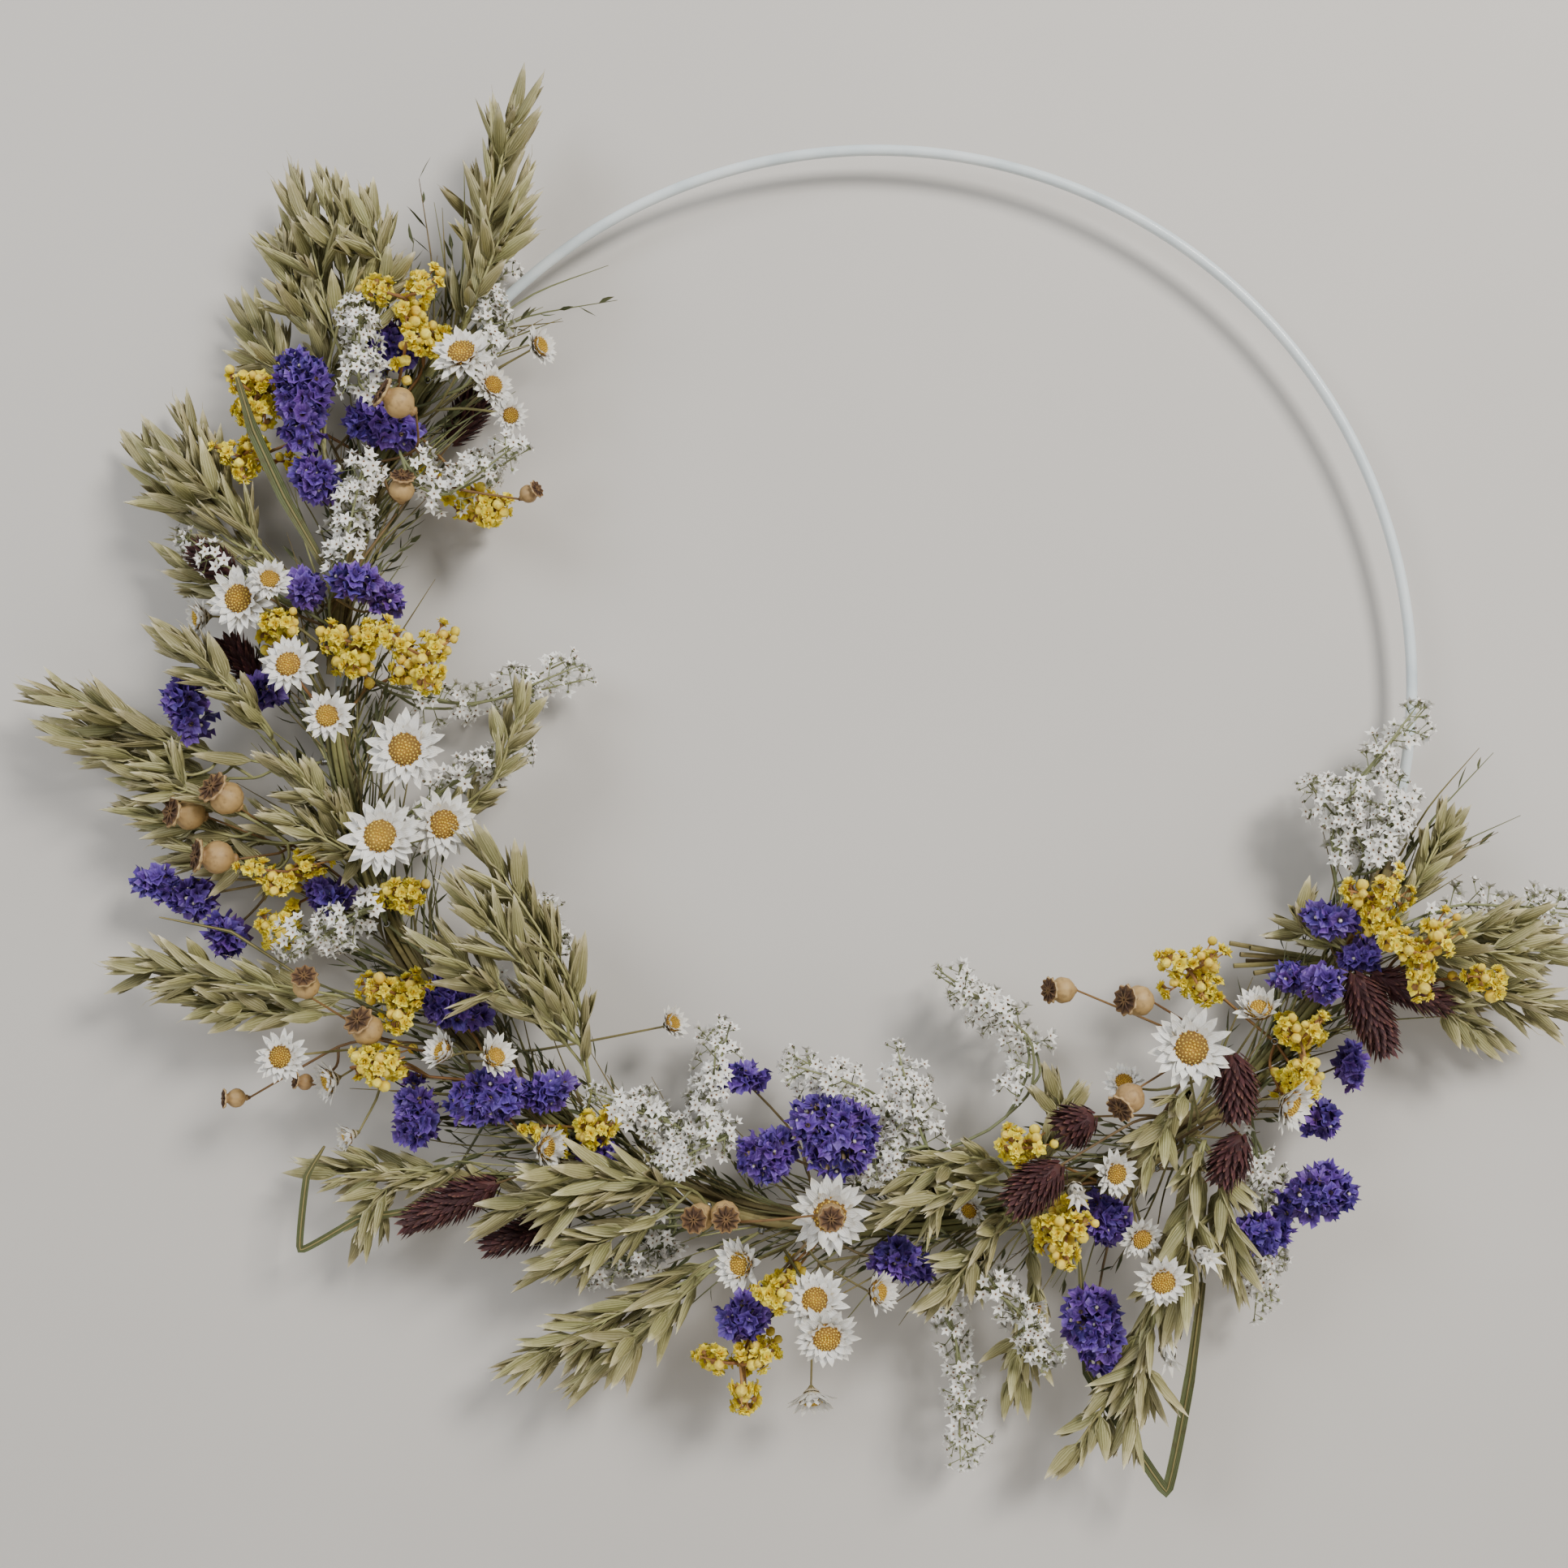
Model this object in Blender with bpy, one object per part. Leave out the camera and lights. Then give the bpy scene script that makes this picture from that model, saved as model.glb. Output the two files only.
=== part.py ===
"""Dried flower wreath: bunches of dried stems bound with wire to the front of a round white hoop.

The origin is the hang point, under the top of the hoop. X runs to the viewer's right, Z up and the front faces -Y.
The plan gives each stem, flower and leaf as a place in the picture and a lift, its distance in front of the hoop.
The layout works in millimetres. Each piece keeps clear of every piece of another node by GAP.
"""

import math
import random

import bmesh
import bpy
import numpy as np
from mathutils import Matrix, Vector

METRES = 0.001
NAME = "dried_flower_wreath"

# Driving sizes, in millimetres
HOOP_OUTER = 400.0
HOOP_TUBE = 4.0
HOOP_RADIUS = (HOOP_OUTER - HOOP_TUBE) / 2
HOOP_Z = -(HOOP_RADIUS - HOOP_TUBE / 2)
STEMS_RADIUS = 4.6
GAP = 0.3
SEAT = 0.35
KNOT_SEAT = 0.12
STEMS_LIFT = HOOP_TUBE / 2 + SEAT + STEMS_RADIUS
KNOT = 1.3
STALK = 0.55
NECK = 1.1
WIRE = 0.45
WIRE_TURN = 7.7
WIRE_PITCH = 20.0
VIEW_DISTANCE = 650.0

# The picture's own measures, in its pixels
PICTURE_MIDDLE = (966.0, 966.0)
HOOP_IN_PICTURE = (1079.5, 845.0)
HOOP_RADIUS_IN_PICTURE = 660.0
PICTURE_MM = HOOP_RADIUS / HOOP_RADIUS_IN_PICTURE

# Each run of bound stems: name, first and last angle round the hoop, from its right hand side
RUNS = (
    ("bound_stems_top_left", 138.0, 179.0),
    ("bound_stems_left", 180.2, 223.0),
    ("bound_stems_lower_left", 224.2, 266.0),
    ("bound_stems_bottom", 267.2, 309.0),
    ("bound_stems_right", 310.2, 341.0),
)
CUT_ENDS = ((1515, 1162, 4), (1528, 1176, 9), (1520, 1190, 6), (1540, 1168, 12), (1545, 1199, 10), (1535, 1184, 3))
CUT_ROOT = (1643, 1184)

# Oats: lift at the tip, lift at the base, spikelets, then the picture places from tip to base
OATS = {
    "oats_top": (146, [
        (20, 12, 7, [(645, 88), (612, 230), (572, 390)]),
        (26, 16, 4, [(652, 208), (604, 330), (560, 430)]),
    ]),
    "oats_top_left": (160, [
        (14, 14, 4, [(365, 208), (385, 330), (432, 470)]),
        (20, 18, 4, [(390, 213), (414, 300), (440, 400)]),
        (16, 18, 4, [(412, 218), (444, 300), (462, 400)]),
        (22, 20, 3, [(447, 235), (468, 310), (482, 400)]),
        (18, 16, 4, [(344, 280), (368, 390), (425, 490)]),
        (8, 10, 4, [(302, 365), (335, 440), (400, 540)]),
    ]),
    "oats_left_upper": (176, [
        (12, 12, 4, [(228, 492), (262, 600), (330, 690)]),
        (6, 10, 4, [(160, 535), (236, 622), (320, 715)]),
        (16, 14, 4, [(188, 530), (262, 610), (345, 690)]),
        (8, 10, 3, [(200, 682), (270, 720), (350, 760)]),
    ]),
    "oats_left": (188, [
        (14, 14, 4, [(25, 850), (150, 888), (290, 950)]),
        (8, 12, 4, [(60, 886), (160, 922), (300, 985)]),
        (32, 26, 4, [(192, 765), (276, 830), (345, 915)]),
    ]),
    "oats_left_low": (198, [
        (12, 14, 4, [(128, 940), (210, 972), (330, 1012)]),
        (20, 18, 4, [(148, 985), (230, 1022), (350, 1040)]),
        (8, 12, 3, [(205, 1046), (290, 1062), (390, 1080)]),
        (34, 26, 4, [(318, 930), (390, 975), (450, 1040)]),
        (30, 24, 4, [(330, 1000), (400, 1035), (470, 1075)]),
        (22, 16, 3, [(652, 842), (628, 920), (588, 1000)]),
    ]),
    "oats_lower_left": (216, [
        (10, 14, 4, [(140, 1196), (250, 1192), (370, 1225)]),
        (16, 18, 4, [(205, 1222), (300, 1238), (390, 1262)]),
    ]),
    "oats_sheaf": (236, [
        (48, 34, 7, [(585, 1015), (655, 1140), (745, 1275)]),
        (46, 34, 4, [(500, 1150), (600, 1205), (720, 1290)]),
        (54, 36, 4, [(548, 1085), (630, 1170), (730, 1285)]),
    ]),
    "oats_bottom": (252, [
        (12, 14, 4, [(362, 1445), (460, 1447), (580, 1438)]),
        (10, 12, 2, [(448, 1545), (468, 1470), (530, 1440)]),
        (34, 28, 4, [(592, 1506), (700, 1462), (860, 1448)]),
        (40, 30, 4, [(640, 1440), (740, 1452), (870, 1462)]),
        (28, 26, 4, [(650, 1572), (730, 1530), (850, 1488)]),
    ]),
    "oats_fan": (258, [
        (12, 14, 4, [(620, 1692), (720, 1636), (870, 1560)]),
        (18, 16, 4, [(695, 1710), (770, 1650), (880, 1570)]),
    ]),
    "oats_middle": (284, [
        (34, 30, 4, [(1062, 1512), (1150, 1478), (1240, 1442)]),
        (30, 28, 4, [(1088, 1466), (1160, 1432), (1240, 1420)]),
        (34, 28, 4, [(1142, 1622), (1200, 1550), (1262, 1470)]),
        (22, 24, 4, [(1300, 1318), (1306, 1370), (1300, 1420)]),
        (14, 16, 2, [(1250, 1732), (1262, 1650), (1290, 1560)]),
    ]),
    "oats_hanging": (306, [
        (34, 38, 4, [(1402, 1462), (1428, 1390), (1478, 1310)]),
        (30, 38, 4, [(1448, 1640), (1462, 1500), (1492, 1340)]),
        (28, 36, 4, [(1530, 1606), (1508, 1500), (1500, 1390)]),
        (18, 22, 4, [(1382, 1790), (1404, 1690), (1440, 1570)]),
        (14, 20, 1, [(1310, 1815), (1352, 1748), (1400, 1660)]),
    ]),
    "oats_right": (330, [
        (16, 16, 2, [(1790, 996), (1764, 1066), (1712, 1140)]),
        (22, 20, 4, [(1948, 1186), (1840, 1170), (1716, 1176)]),
        (12, 16, 4, [(1925, 1140), (1830, 1142), (1712, 1166)]),
        (16, 18, 3, [(1952, 1258), (1846, 1226), (1716, 1186)]),
        (14, 15, 4, [(1852, 1292), (1780, 1240), (1704, 1196)]),
        (16, 15, 2, [(1610, 1087), (1602, 1140), (1636, 1172)]),
    ]),
}

# Daisies: picture place, lift, width, the way the face leans (right, up) and how far the bracts close, in degrees
DAISIES = {
    "daisies_top": (152, [
        (570, 438, 36, 25, (-0.1, 0.5), 14), (662, 428, 24, 17, (1.5, 0.3), 30),
        (628, 511, 32, 14, (0.5, -0.4), 10), (605, 476, 22, 18, (0.8, 0.2), 20),
    ]),
    "daisies_left_upper": (178, [
        (297, 738, 36, 26, (-0.2, 0.0), 12), (332, 715, 44, 17, (0.3, 0.2), 22), (250, 760, 22, 20, (-1.5, -0.2), 30),
        (357, 820, 38, 22, (0.0, 0.2), 10), (404, 882, 36, 20, (0.1, 0.0), 10),
    ]),
    "daisies_left": (196, [
        (500, 923, 42, 29, (0.0, 0.0), 8), (470, 1030, 46, 29, (0.0, 0.1), 8), (545, 1015, 36, 27, (0.5, 0.0), 12),
    ]),
    "daisies_low_left": (220, [
        (347, 1302, 34, 20, (0.0, 0.1), 10), (410, 1330, 26, 20, (-1.2, -0.3), 35), (433, 1398, 18, 15, (-1.2, -0.3), 55),
        (550, 1297, 36, 20, (-1.0, 0.6), 50), (607, 1304, 42, 20, (0.9, 0.6), 40), (668, 1414, 40, 21, (1.7, 0.0), 40),
        (825, 1262, 16, 17, (1.2, 0.6), 40),
    ]),
    "daisies_bottom": (262, [
        (1022, 1495, 44, 30, (0.0, -0.1), 10), (915, 1558, 38, 23, (-0.6, 0.2), 40),
        (1005, 1604, 38, 24, (-0.2, 0.6), 12), (1018, 1645, 44, 25, (0.1, -0.3), 12), (1078, 1592, 30, 20, (1.0, 0.2), 40),
        (1000, 1718, 18, 22, (0.1, -1.5), 35), (1270, 1612, 22, 15, (0.6, -0.7), 30),
    ]),
    "daisies_lower_right": (306, [
        (1467, 1290, 46, 30, (-0.1, 0.0), 12), (1552, 1248, 38, 23, (-0.4, 1.2), 50), (1585, 1358, 42, 24, (0.9, -0.4), 35),
        (1385, 1335, 22, 16, (-0.2, 0.6), 20),
    ]),
    "daisies_right_low": (298, [
        (1373, 1445, 36, 19, (0.3, 0.0), 20), (1326, 1470, 36, 11, (0.0, -0.2), 80), (1405, 1524, 30, 18, (0.2, -0.3), 16),
        (1432, 1577, 46, 21, (0.0, -0.2), 10), (1485, 1548, 46, 11, (0.2, 0.0), 80), (1440, 1668, 24, 11, (0.0, -0.8), 80),
        (1196, 1490, 22, 14, (-0.5, -0.2), 16),
    ]),
}

# Poppy pods: picture place, lift, width, the way the crown points
PODS = {
    "pods_top": (158, [(490, 495, 42, 11, (-1.6, 0.9)), (495, 602, 26, 9, (0.3, 1.2)), (652, 608, 34, 6.5, (1.6, 0.7))]),
    "pods_left": (202, [(232, 1003, 22, 11.5, (-0.9, 0.2)), (278, 982, 30, 12, (-0.6, 0.7)), (266, 1056, 26, 12, (-1.4, 0.2))]),
    "pods_low_left": (222, [
        (377, 1214, 32, 9.5, (0.1, 0.9)), (452, 1268, 36, 11, (-0.4, 0.8)), (290, 1353, 18, 7, (-1.8, 0.1)),
        (375, 1333, 20, 6, (-1.4, 0.4)),
    ]),
    "pods_bottom": (254, [(862, 1500, 38, 10, (-0.3, 0.1)), (893, 1497, 42, 10, (0.1, 0.0)), (1024, 1499, 54, 9, (0.0, 0.1))]),
    "pods_right": (312, [(1308, 1220, 26, 9.5, (-1.8, 0.1)), (1402, 1233, 34, 11, (-1.4, 0.2)), (1391, 1354, 48, 10.5, (-1.0, -0.7))]),
}

# Canary grass heads: lift, width, base and tip in the picture
BRUSHES = {
    "canary_grass_left": (174, [(16, 15, (556, 545), (606, 462)), (20, 13, (290, 712), (234, 672)), (12, 13, (316, 838), (276, 782))]),
    "canary_grass_lower_left": (238, [(26, 15, (612, 1458), (488, 1512)), (14, 13, (700, 1500), (590, 1540))]),
    "canary_grass_lower_right": (303, [
        (44, 18, (1346, 1376), (1304, 1396)), (46, 20, (1306, 1436), (1240, 1492)),
        (44, 17, (1520, 1300), (1526, 1385)), (44, 16, (1530, 1400), (1500, 1462)),
    ]),
    "canary_grass_right": (326, [(34, 18, (1668, 1200), (1712, 1304)), (26, 13, (1690, 1200), (1792, 1244))]),
}

# Statice clusters: picture place, lift, width, height, flowers
STATICE = {
    "statice_top_left": (160, [
        (372, 488, 26, 22, 32, 7), (482, 430, 26, 18, 16, 4), (470, 520, 24, 26, 18, 5), (388, 590, 20, 14, 16, 4),
    ]),
    "statice_left_upper": (176, [
        (375, 725, 24, 12, 12, 3), (438, 716, 28, 17, 12, 4), (474, 738, 24, 14, 10, 3), (230, 868, 16, 16, 22, 4),
        (322, 850, 18, 12, 12, 3),
    ]),
    "statice_left": (206, [
        (190, 1086, 10, 13, 10, 3), (232, 1106, 14, 18, 14, 4), (278, 1152, 14, 13, 15, 4), (404, 1104, 16, 14, 12, 3),
    ]),
    "statice_low_left": (230, [
        (560, 1236, 22, 22, 20, 4), (512, 1372, 22, 15, 22, 4), (600, 1352, 32, 24, 20, 5), (672, 1346, 30, 20, 12, 4),
        (738, 1424, 22, 12, 12, 3),
    ]),
    "statice_bottom": (264, [
        (912, 1328, 20, 20, 8, 3), (1030, 1398, 36, 34, 26, 7), (946, 1424, 32, 18, 20, 4), (918, 1622, 30, 18, 16, 4),
        (1110, 1556, 26, 22, 13, 4),
    ]),
    "statice_lower_right": (300, [
        (1360, 1502, 18, 16, 18, 4), (1350, 1636, 16, 20, 30, 5),
        (1664, 1312, 14, 9, 14, 3), (1628, 1380, 16, 12, 12, 3), (1626, 1472, 28, 28, 18, 5), (1550, 1520, 26, 24, 14, 4),
    ]),
    "statice_right": (326, [
        (1640, 1134, 32, 17, 11, 4), (1678, 1178, 26, 14, 10, 3), (1634, 1212, 26, 10, 13, 3), (1590, 1204, 20, 12, 8, 3),
    ]),
}

# Yellow twigs: picture place of the middle, lift, width, height, twigs, blooms on each
YELLOWS = {
    "yellow_blooms_top": (156, [
        (502, 362, 24, 34, 24, 3, 4), (522, 412, 28, 14, 10, 1, 4), (600, 630, 12, 14, 12, 1, 3),
        (318, 484, 12, 18, 26, 2, 4), (300, 560, 10, 20, 16, 1, 4),
    ]),
    "yellow_blooms_left": (182, [(440, 790, 28, 26, 22, 2, 4), (520, 806, 26, 32, 26, 2, 4), (342, 768, 20, 12, 10, 1, 3)]),
    "yellow_blooms_left_low": (206, [(360, 1070, 18, 44, 14, 2, 4), (345, 1148, 14, 10, 8, 1, 2), (496, 1100, 26, 14, 8, 1, 3)]),
    "yellow_blooms_low_left": (226, [(486, 1232, 22, 26, 22, 2, 4), (472, 1308, 26, 24, 12, 1, 4), (735, 1396, 32, 14, 24, 1, 4)]),
    "yellow_blooms_bottom": (262, [(916, 1682, 24, 34, 32, 3, 4), (960, 1588, 28, 12, 10, 1, 3)]),
    "yellow_blooms_middle": (294, [(1270, 1410, 36, 20, 12, 1, 4), (1310, 1514, 34, 18, 22, 2, 3)]),
    "yellow_blooms_lower_right": (314, [(1474, 1196, 18, 30, 24, 2, 4), (1612, 1290, 28, 18, 36, 2, 4), (1612, 1345, 24, 14, 14, 1, 3)]),
    "yellow_blooms_right": (328, [(1700, 1112, 34, 26, 26, 2, 4), (1756, 1172, 32, 34, 30, 2, 4), (1840, 1198, 24, 14, 10, 1, 2)]),
}

# Star sprays: lift at the tip, lift at the base, stars, then the picture places from tip to base
STARS = {
    "star_sprays_top": (150, [
        (22, 20, 7, [(434, 385), (440, 440), (452, 500)]),
        (10, 10, 4, [(612, 345), (610, 385), (592, 440)]), (20, 18, 4, [(640, 560), (580, 590), (520, 622)]),
    ]),
    "star_sprays_left_upper": (174, [
        (16, 16, 4, [(452, 570), (440, 625), (420, 680)]),
        (8, 10, 4, [(232, 668), (275, 690), (320, 720)]), (14, 12, 4, [(704, 824), (620, 846), (545, 890)]),
    ]),
    "star_sprays_left": (204, [
        (14, 14, 4, [(642, 934), (590, 940), (548, 968)]), (24, 22, 4, [(366, 1170), (420, 1130), (480, 1120)]), (8, 10, 4, [(672, 1118), (668, 1170), (690, 1230)]),
    ]),
    "star_sprays_low_left": (240, [
        (20, 20, 7, [(884, 1268), (880, 1330), (862, 1390)]),
        (28, 24, 4, [(740, 1350), (800, 1372), (860, 1396)]), (30, 26, 4, [(812, 1420), (866, 1412), (920, 1390)]),
        (8, 12, 4, [(730, 1570), (790, 1540), (850, 1520)]),
    ]),
    "star_sprays_bottom": (276, [
        (26, 24, 4, [(985, 1305), (1040, 1330), (1100, 1370)]), (24, 24, 4, [(1110, 1310), (1130, 1360), (1140, 1420)]),
        (30, 26, 4, [(1060, 1440), (1110, 1420), (1160, 1410)]), (12, 14, 7, [(1165, 1208), (1220, 1262), (1310, 1300)]),
        (10, 12, 4, [(1198, 1785), (1184, 1700), (1176, 1620)]),
        (18, 18, 4, [(1290, 1668), (1260, 1620), (1220, 1580)]),
    ]),
    "star_sprays_lower_right": (316, [
        (12, 14, 4, [(1556, 1600), (1552, 1530), (1560, 1450)]),
    ]),
    "star_sprays_right": (334, [
        (12, 14, 4, [(1746, 880), (1660, 945), (1640, 1040)]), (20, 18, 4, [(1630, 970), (1668, 1010), (1690, 1080)]),
        (18, 19, 4, [(1722, 975), (1712, 1020), (1702, 1090)]), (11, 14, 3, [(1945, 1128), (1850, 1108), (1760, 1120)]),
    ]),
}

# Leaves: lift at the tip, lift at the base, width, then the picture places from tip to base
LEAVES = {
    "leaf_top_left": (164, [(34, 18, 4.6, [(292, 464), (312, 530), (350, 612), (398, 695)])]),
    "leaves_lower_left": (226, [
        (16, 16, 2.6, [(400, 1412), (378, 1450), (370, 1540), (440, 1502), (500, 1492), (566, 1440)]),
        (20, 22, 1.4, [(196, 1130), (285, 1148), (372, 1204)]),
    ]),
    "leaf_lower_right": (302, [
        (16, 20, 4.0, [(1330, 1552), (1340, 1690), (1437, 1838), (1466, 1700), (1482, 1580)]),
    ]),
}

LIFT_TRIES = (0, 2.5, -2.5, 5, -5, 7.5, -7.5, 10, -10, 13, -13, 16, 20)
LOWEST_LIFT = -7.0
HIGHEST_LIFT = 62.0


# Places and directions


def vec(*parts):
    return np.array(parts, float)


def unit(v):
    return v / max(float(np.linalg.norm(v)), 1e-9)


def place(x, y, lift):
    """The point that shows at a place in the picture, at a lift in front of the hoop."""
    share = (VIEW_DISTANCE - lift) / VIEW_DISTANCE * PICTURE_MM
    middle_x = (PICTURE_MIDDLE[0] - HOOP_IN_PICTURE[0]) * PICTURE_MM
    middle_z = (HOOP_IN_PICTURE[1] - PICTURE_MIDDLE[1]) * PICTURE_MM + HOOP_Z
    return vec(middle_x + (x - PICTURE_MIDDLE[0]) * share, -lift, middle_z + (PICTURE_MIDDLE[1] - y) * share)


def round_hoop(angle, radius=HOOP_RADIUS, lift=0.0):
    turn = math.radians(angle)
    return vec(radius * math.cos(turn), -lift, HOOP_Z + radius * math.sin(turn))


def square_to(axis):
    """Two directions square to the axis and to each other."""
    side = np.cross(axis, vec(0, 1, 0))
    if np.linalg.norm(side) < 0.2:
        side = np.cross(axis, vec(1, 0, 0))
    side = unit(side)
    return side, np.cross(axis, side)


def spread(start, end, count):
    return [start + (end - start) * i / max(count - 1, 1) for i in range(count)]


def whorled(count, first, last):
    """The share of a stem's length and the side, left, right or front, of each sprout in whorls of three."""
    whorls = max(math.ceil(count / 3), 1)
    shares = spread(first, last, whorls) if whorls > 1 else [(first + last) / 2]
    return [(shares[i // 3], (vec(1, 0, 0), vec(-1, 0, 0), vec(0, 0, 1))[i % 3]) for i in range(count)]


def sided(way, side, out, front):
    """A direction off a stem that runs one way: to its left, its right or the front."""
    across = unit(np.cross(way, vec(0, 1, 0)))
    return across * side[0] * out + vec(0, -1, 0) * (front + side[2] * out)


def along(points, share):
    """The point at a share of a path's length, and the path's direction there."""
    steps = [float(np.linalg.norm(b - a)) for a, b in zip(points, points[1:])]
    left = share * sum(steps)
    for a, b, step in zip(points, points[1:], steps):
        if left <= step or b is points[-1]:
            return a + (b - a) * min(left / step, 1.0), unit(b - a)
        left -= step


# Lofted shapes: rings of points joined into one closed surface


def ring(work, centre, axis_u, axis_v, radius, count, turn=0.0):
    """A ring of points, or one point for a tip."""
    if count == 1:
        return [work.verts.new(centre)]
    turns = [turn + math.tau * i / count for i in range(count)]
    return [work.verts.new(centre + (axis_u * math.cos(at) + axis_v * math.sin(at)) * radius) for at in turns]


def loft(work, low, high):
    """Faces between two rings, which may have different numbers of points."""
    if len(low) < len(high):
        low, high = high, low
    count, other = len(low), len(high)
    if other == 1:
        match = [0] * count
    elif other == count:
        match = list(range(count))
    else:
        match = [min(range(other), key=lambda j: (low[i].co - high[j].co).length) for i in range(count)]
    for i in range(count):
        after, first, last = (i + 1) % count, match[i], match[(i + 1) % count]
        if other == count:
            work.faces.new((low[i], low[after], high[last], high[first]))
            continue
        work.faces.new((low[i], low[after], high[first]))
        if first != last:
            work.faces.new((low[after], high[last], high[first]))


def turned(work, centre, axis, profile, sides, roll=0.0):
    """Rings round an axis from (distance along, radius) pairs. The last pair is the tip, and the base stays open."""
    u, v = square_to(axis)
    rings = []
    for distance, radius in profile:
        rings.append(ring(work, centre + axis * distance, u, v, radius, sides if radius else 1, roll))
    for low, high in zip(rings, rings[1:]):
        loft(work, low, high)
    return rings[0]


# Heads, each open at its base, where its stem joins it


class Daisy:
    """A ring of pointed bracts round a domed middle."""

    petals = 7

    def __init__(self, centre, axis, radius, close, roll):
        self.centre, self.axis, self.radius, self.roll = centre, axis, radius, roll
        self.lean = math.radians(close)
        self.base = centre - axis * 3.0

    def rim(self, turn, share, rise):
        u, v = square_to(self.axis)
        out = u * math.cos(turn) + v * math.sin(turn)
        far = self.radius * share
        return self.centre + (out * math.cos(self.lean) + self.axis * math.sin(self.lean)) * far + self.axis * rise

    def edge(self):
        """Tips and the notches between them, in turn."""
        turns = [self.roll + math.tau * i / (self.petals * 2) for i in range(self.petals * 2)]
        return [self.rim(at, 0.62, -0.4) if i % 2 else self.rim(at, 1.0, 0.3) for i, at in enumerate(turns)]

    def hull(self):
        rays = [(self.centre, point, 1.6) for point in self.edge()]
        middle = (self.centre - self.axis * 0.6, self.centre + self.axis * 0.8, max(self.radius * 0.4, 3.2))
        return rays + [middle]

    def shape(self, work):
        edge = [work.verts.new(point) for point in self.edge()]
        turns = [self.roll + math.tau * i / self.petals for i in range(self.petals)]
        inner = [work.verts.new(self.rim(at, 0.36, 1.3)) for at in turns]
        top = work.verts.new(self.centre + self.axis * (2.8 + self.radius * 0.36 * math.sin(self.lean)))
        count = self.petals
        for i in range(count):
            tip, notch, after = edge[2 * i], edge[2 * i + 1], edge[(2 * i + 2) % (2 * count)]
            here, there = inner[i], inner[(i + 1) % count]
            for corners in ((tip, notch, here), (notch, there, here), (notch, after, there), (here, there, top)):
                work.faces.new(corners)
        return edge


class Turned:
    """A bud, pod or brush, turned round its axis."""

    def __init__(self, kind, centre, axis, radius, roll, length=0.0):
        self.kind, self.centre, self.axis, self.radius, self.roll = kind, centre, axis, radius, roll
        profile, self.sides = PROFILES[kind]
        reach = length or radius
        self.profile = [(along_it * reach, out * radius) for along_it, out in profile]
        self.base = centre + axis * (self.profile[0][0] - 0.8)

    def hull(self):
        first, last = self.profile[0][0], self.profile[-1][0]
        inset = min(self.radius * 0.7, (last - first) / 2 - 0.1)
        ends = [self.centre + self.axis * at for at in (first + inset, last - inset)]
        return [(ends[0], ends[1], self.radius)]

    def shape(self, work):
        return turned(work, self.centre, self.axis, self.profile, self.sides, self.roll)


PROFILES = {
    "bud": ([(-0.7, 0.75), (0.35, 0.9), (1.15, 0)], 6),
    "pod": ([(-1.2, 0.35), (-0.3, 0.98), (0.8, 0.55), (1.1, 0.92), (1.2, 0)], 5),
    "brush": ([(0.04, 0.5), (0.3, 0.96), (0.56, 0.92), (0.8, 0.6), (1.0, 0)], 6),
}


class Cluster:
    """A statice head: papery cups that stand out of a slim core, in a ring and one in front."""

    def __init__(self, centre, half_width, half_height, count):
        self.centre, self.count, self.cups = centre, count, []
        self.wide, self.high = half_width, half_height
        self.axis, self.base = vec(0, -1, 0), centre + vec(0, 4.0, 0)

    def turn(self, number):
        return math.tau * (number + 0.5) / self.count

    def reach(self, turn, share):
        """A point of the head's oval outline, at a share of the way out."""
        return vec(math.cos(turn) * self.wide, 0, math.sin(turn) * self.high) * share

    def hull(self):
        """The core, and the cups once they are placed."""
        short = min(self.wide, self.high) * 0.26
        far = vec(self.wide * 0.26 - short, 0, self.high * 0.26 - short)
        middle = self.centre + vec(0, 0.4, 0)
        core = [(middle - far, middle + far, max(short, 2.3)), (middle, self.base, 1.2)]
        return core + [capsule for cup in self.cups for capsule in cup.hull()]

    def shape(self, work):
        turns = [math.tau * i / self.count for i in range(self.count)]
        low = [work.verts.new(self.centre + self.reach(at, 0.26) + vec(0, 2.2, 0)) for at in turns]
        high = [work.verts.new(self.centre + self.reach(at, 0.17) - vec(0, 1.5, 0)) for at in turns]
        taken = {cup.share: cup for cup in self.cups}
        for i in range(self.count):
            j = (i + 1) % self.count
            corners = [low[i], low[j], high[j], high[i]]
            if i in taken:
                taken[i].shape(work, corners)
            else:
                work.faces.new(corners)
        if self.count in taken:
            taken[self.count].shape(work, high)
        else:
            work.faces.new(high)
        return low


# What grows along a stem, out of one of its side faces


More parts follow.
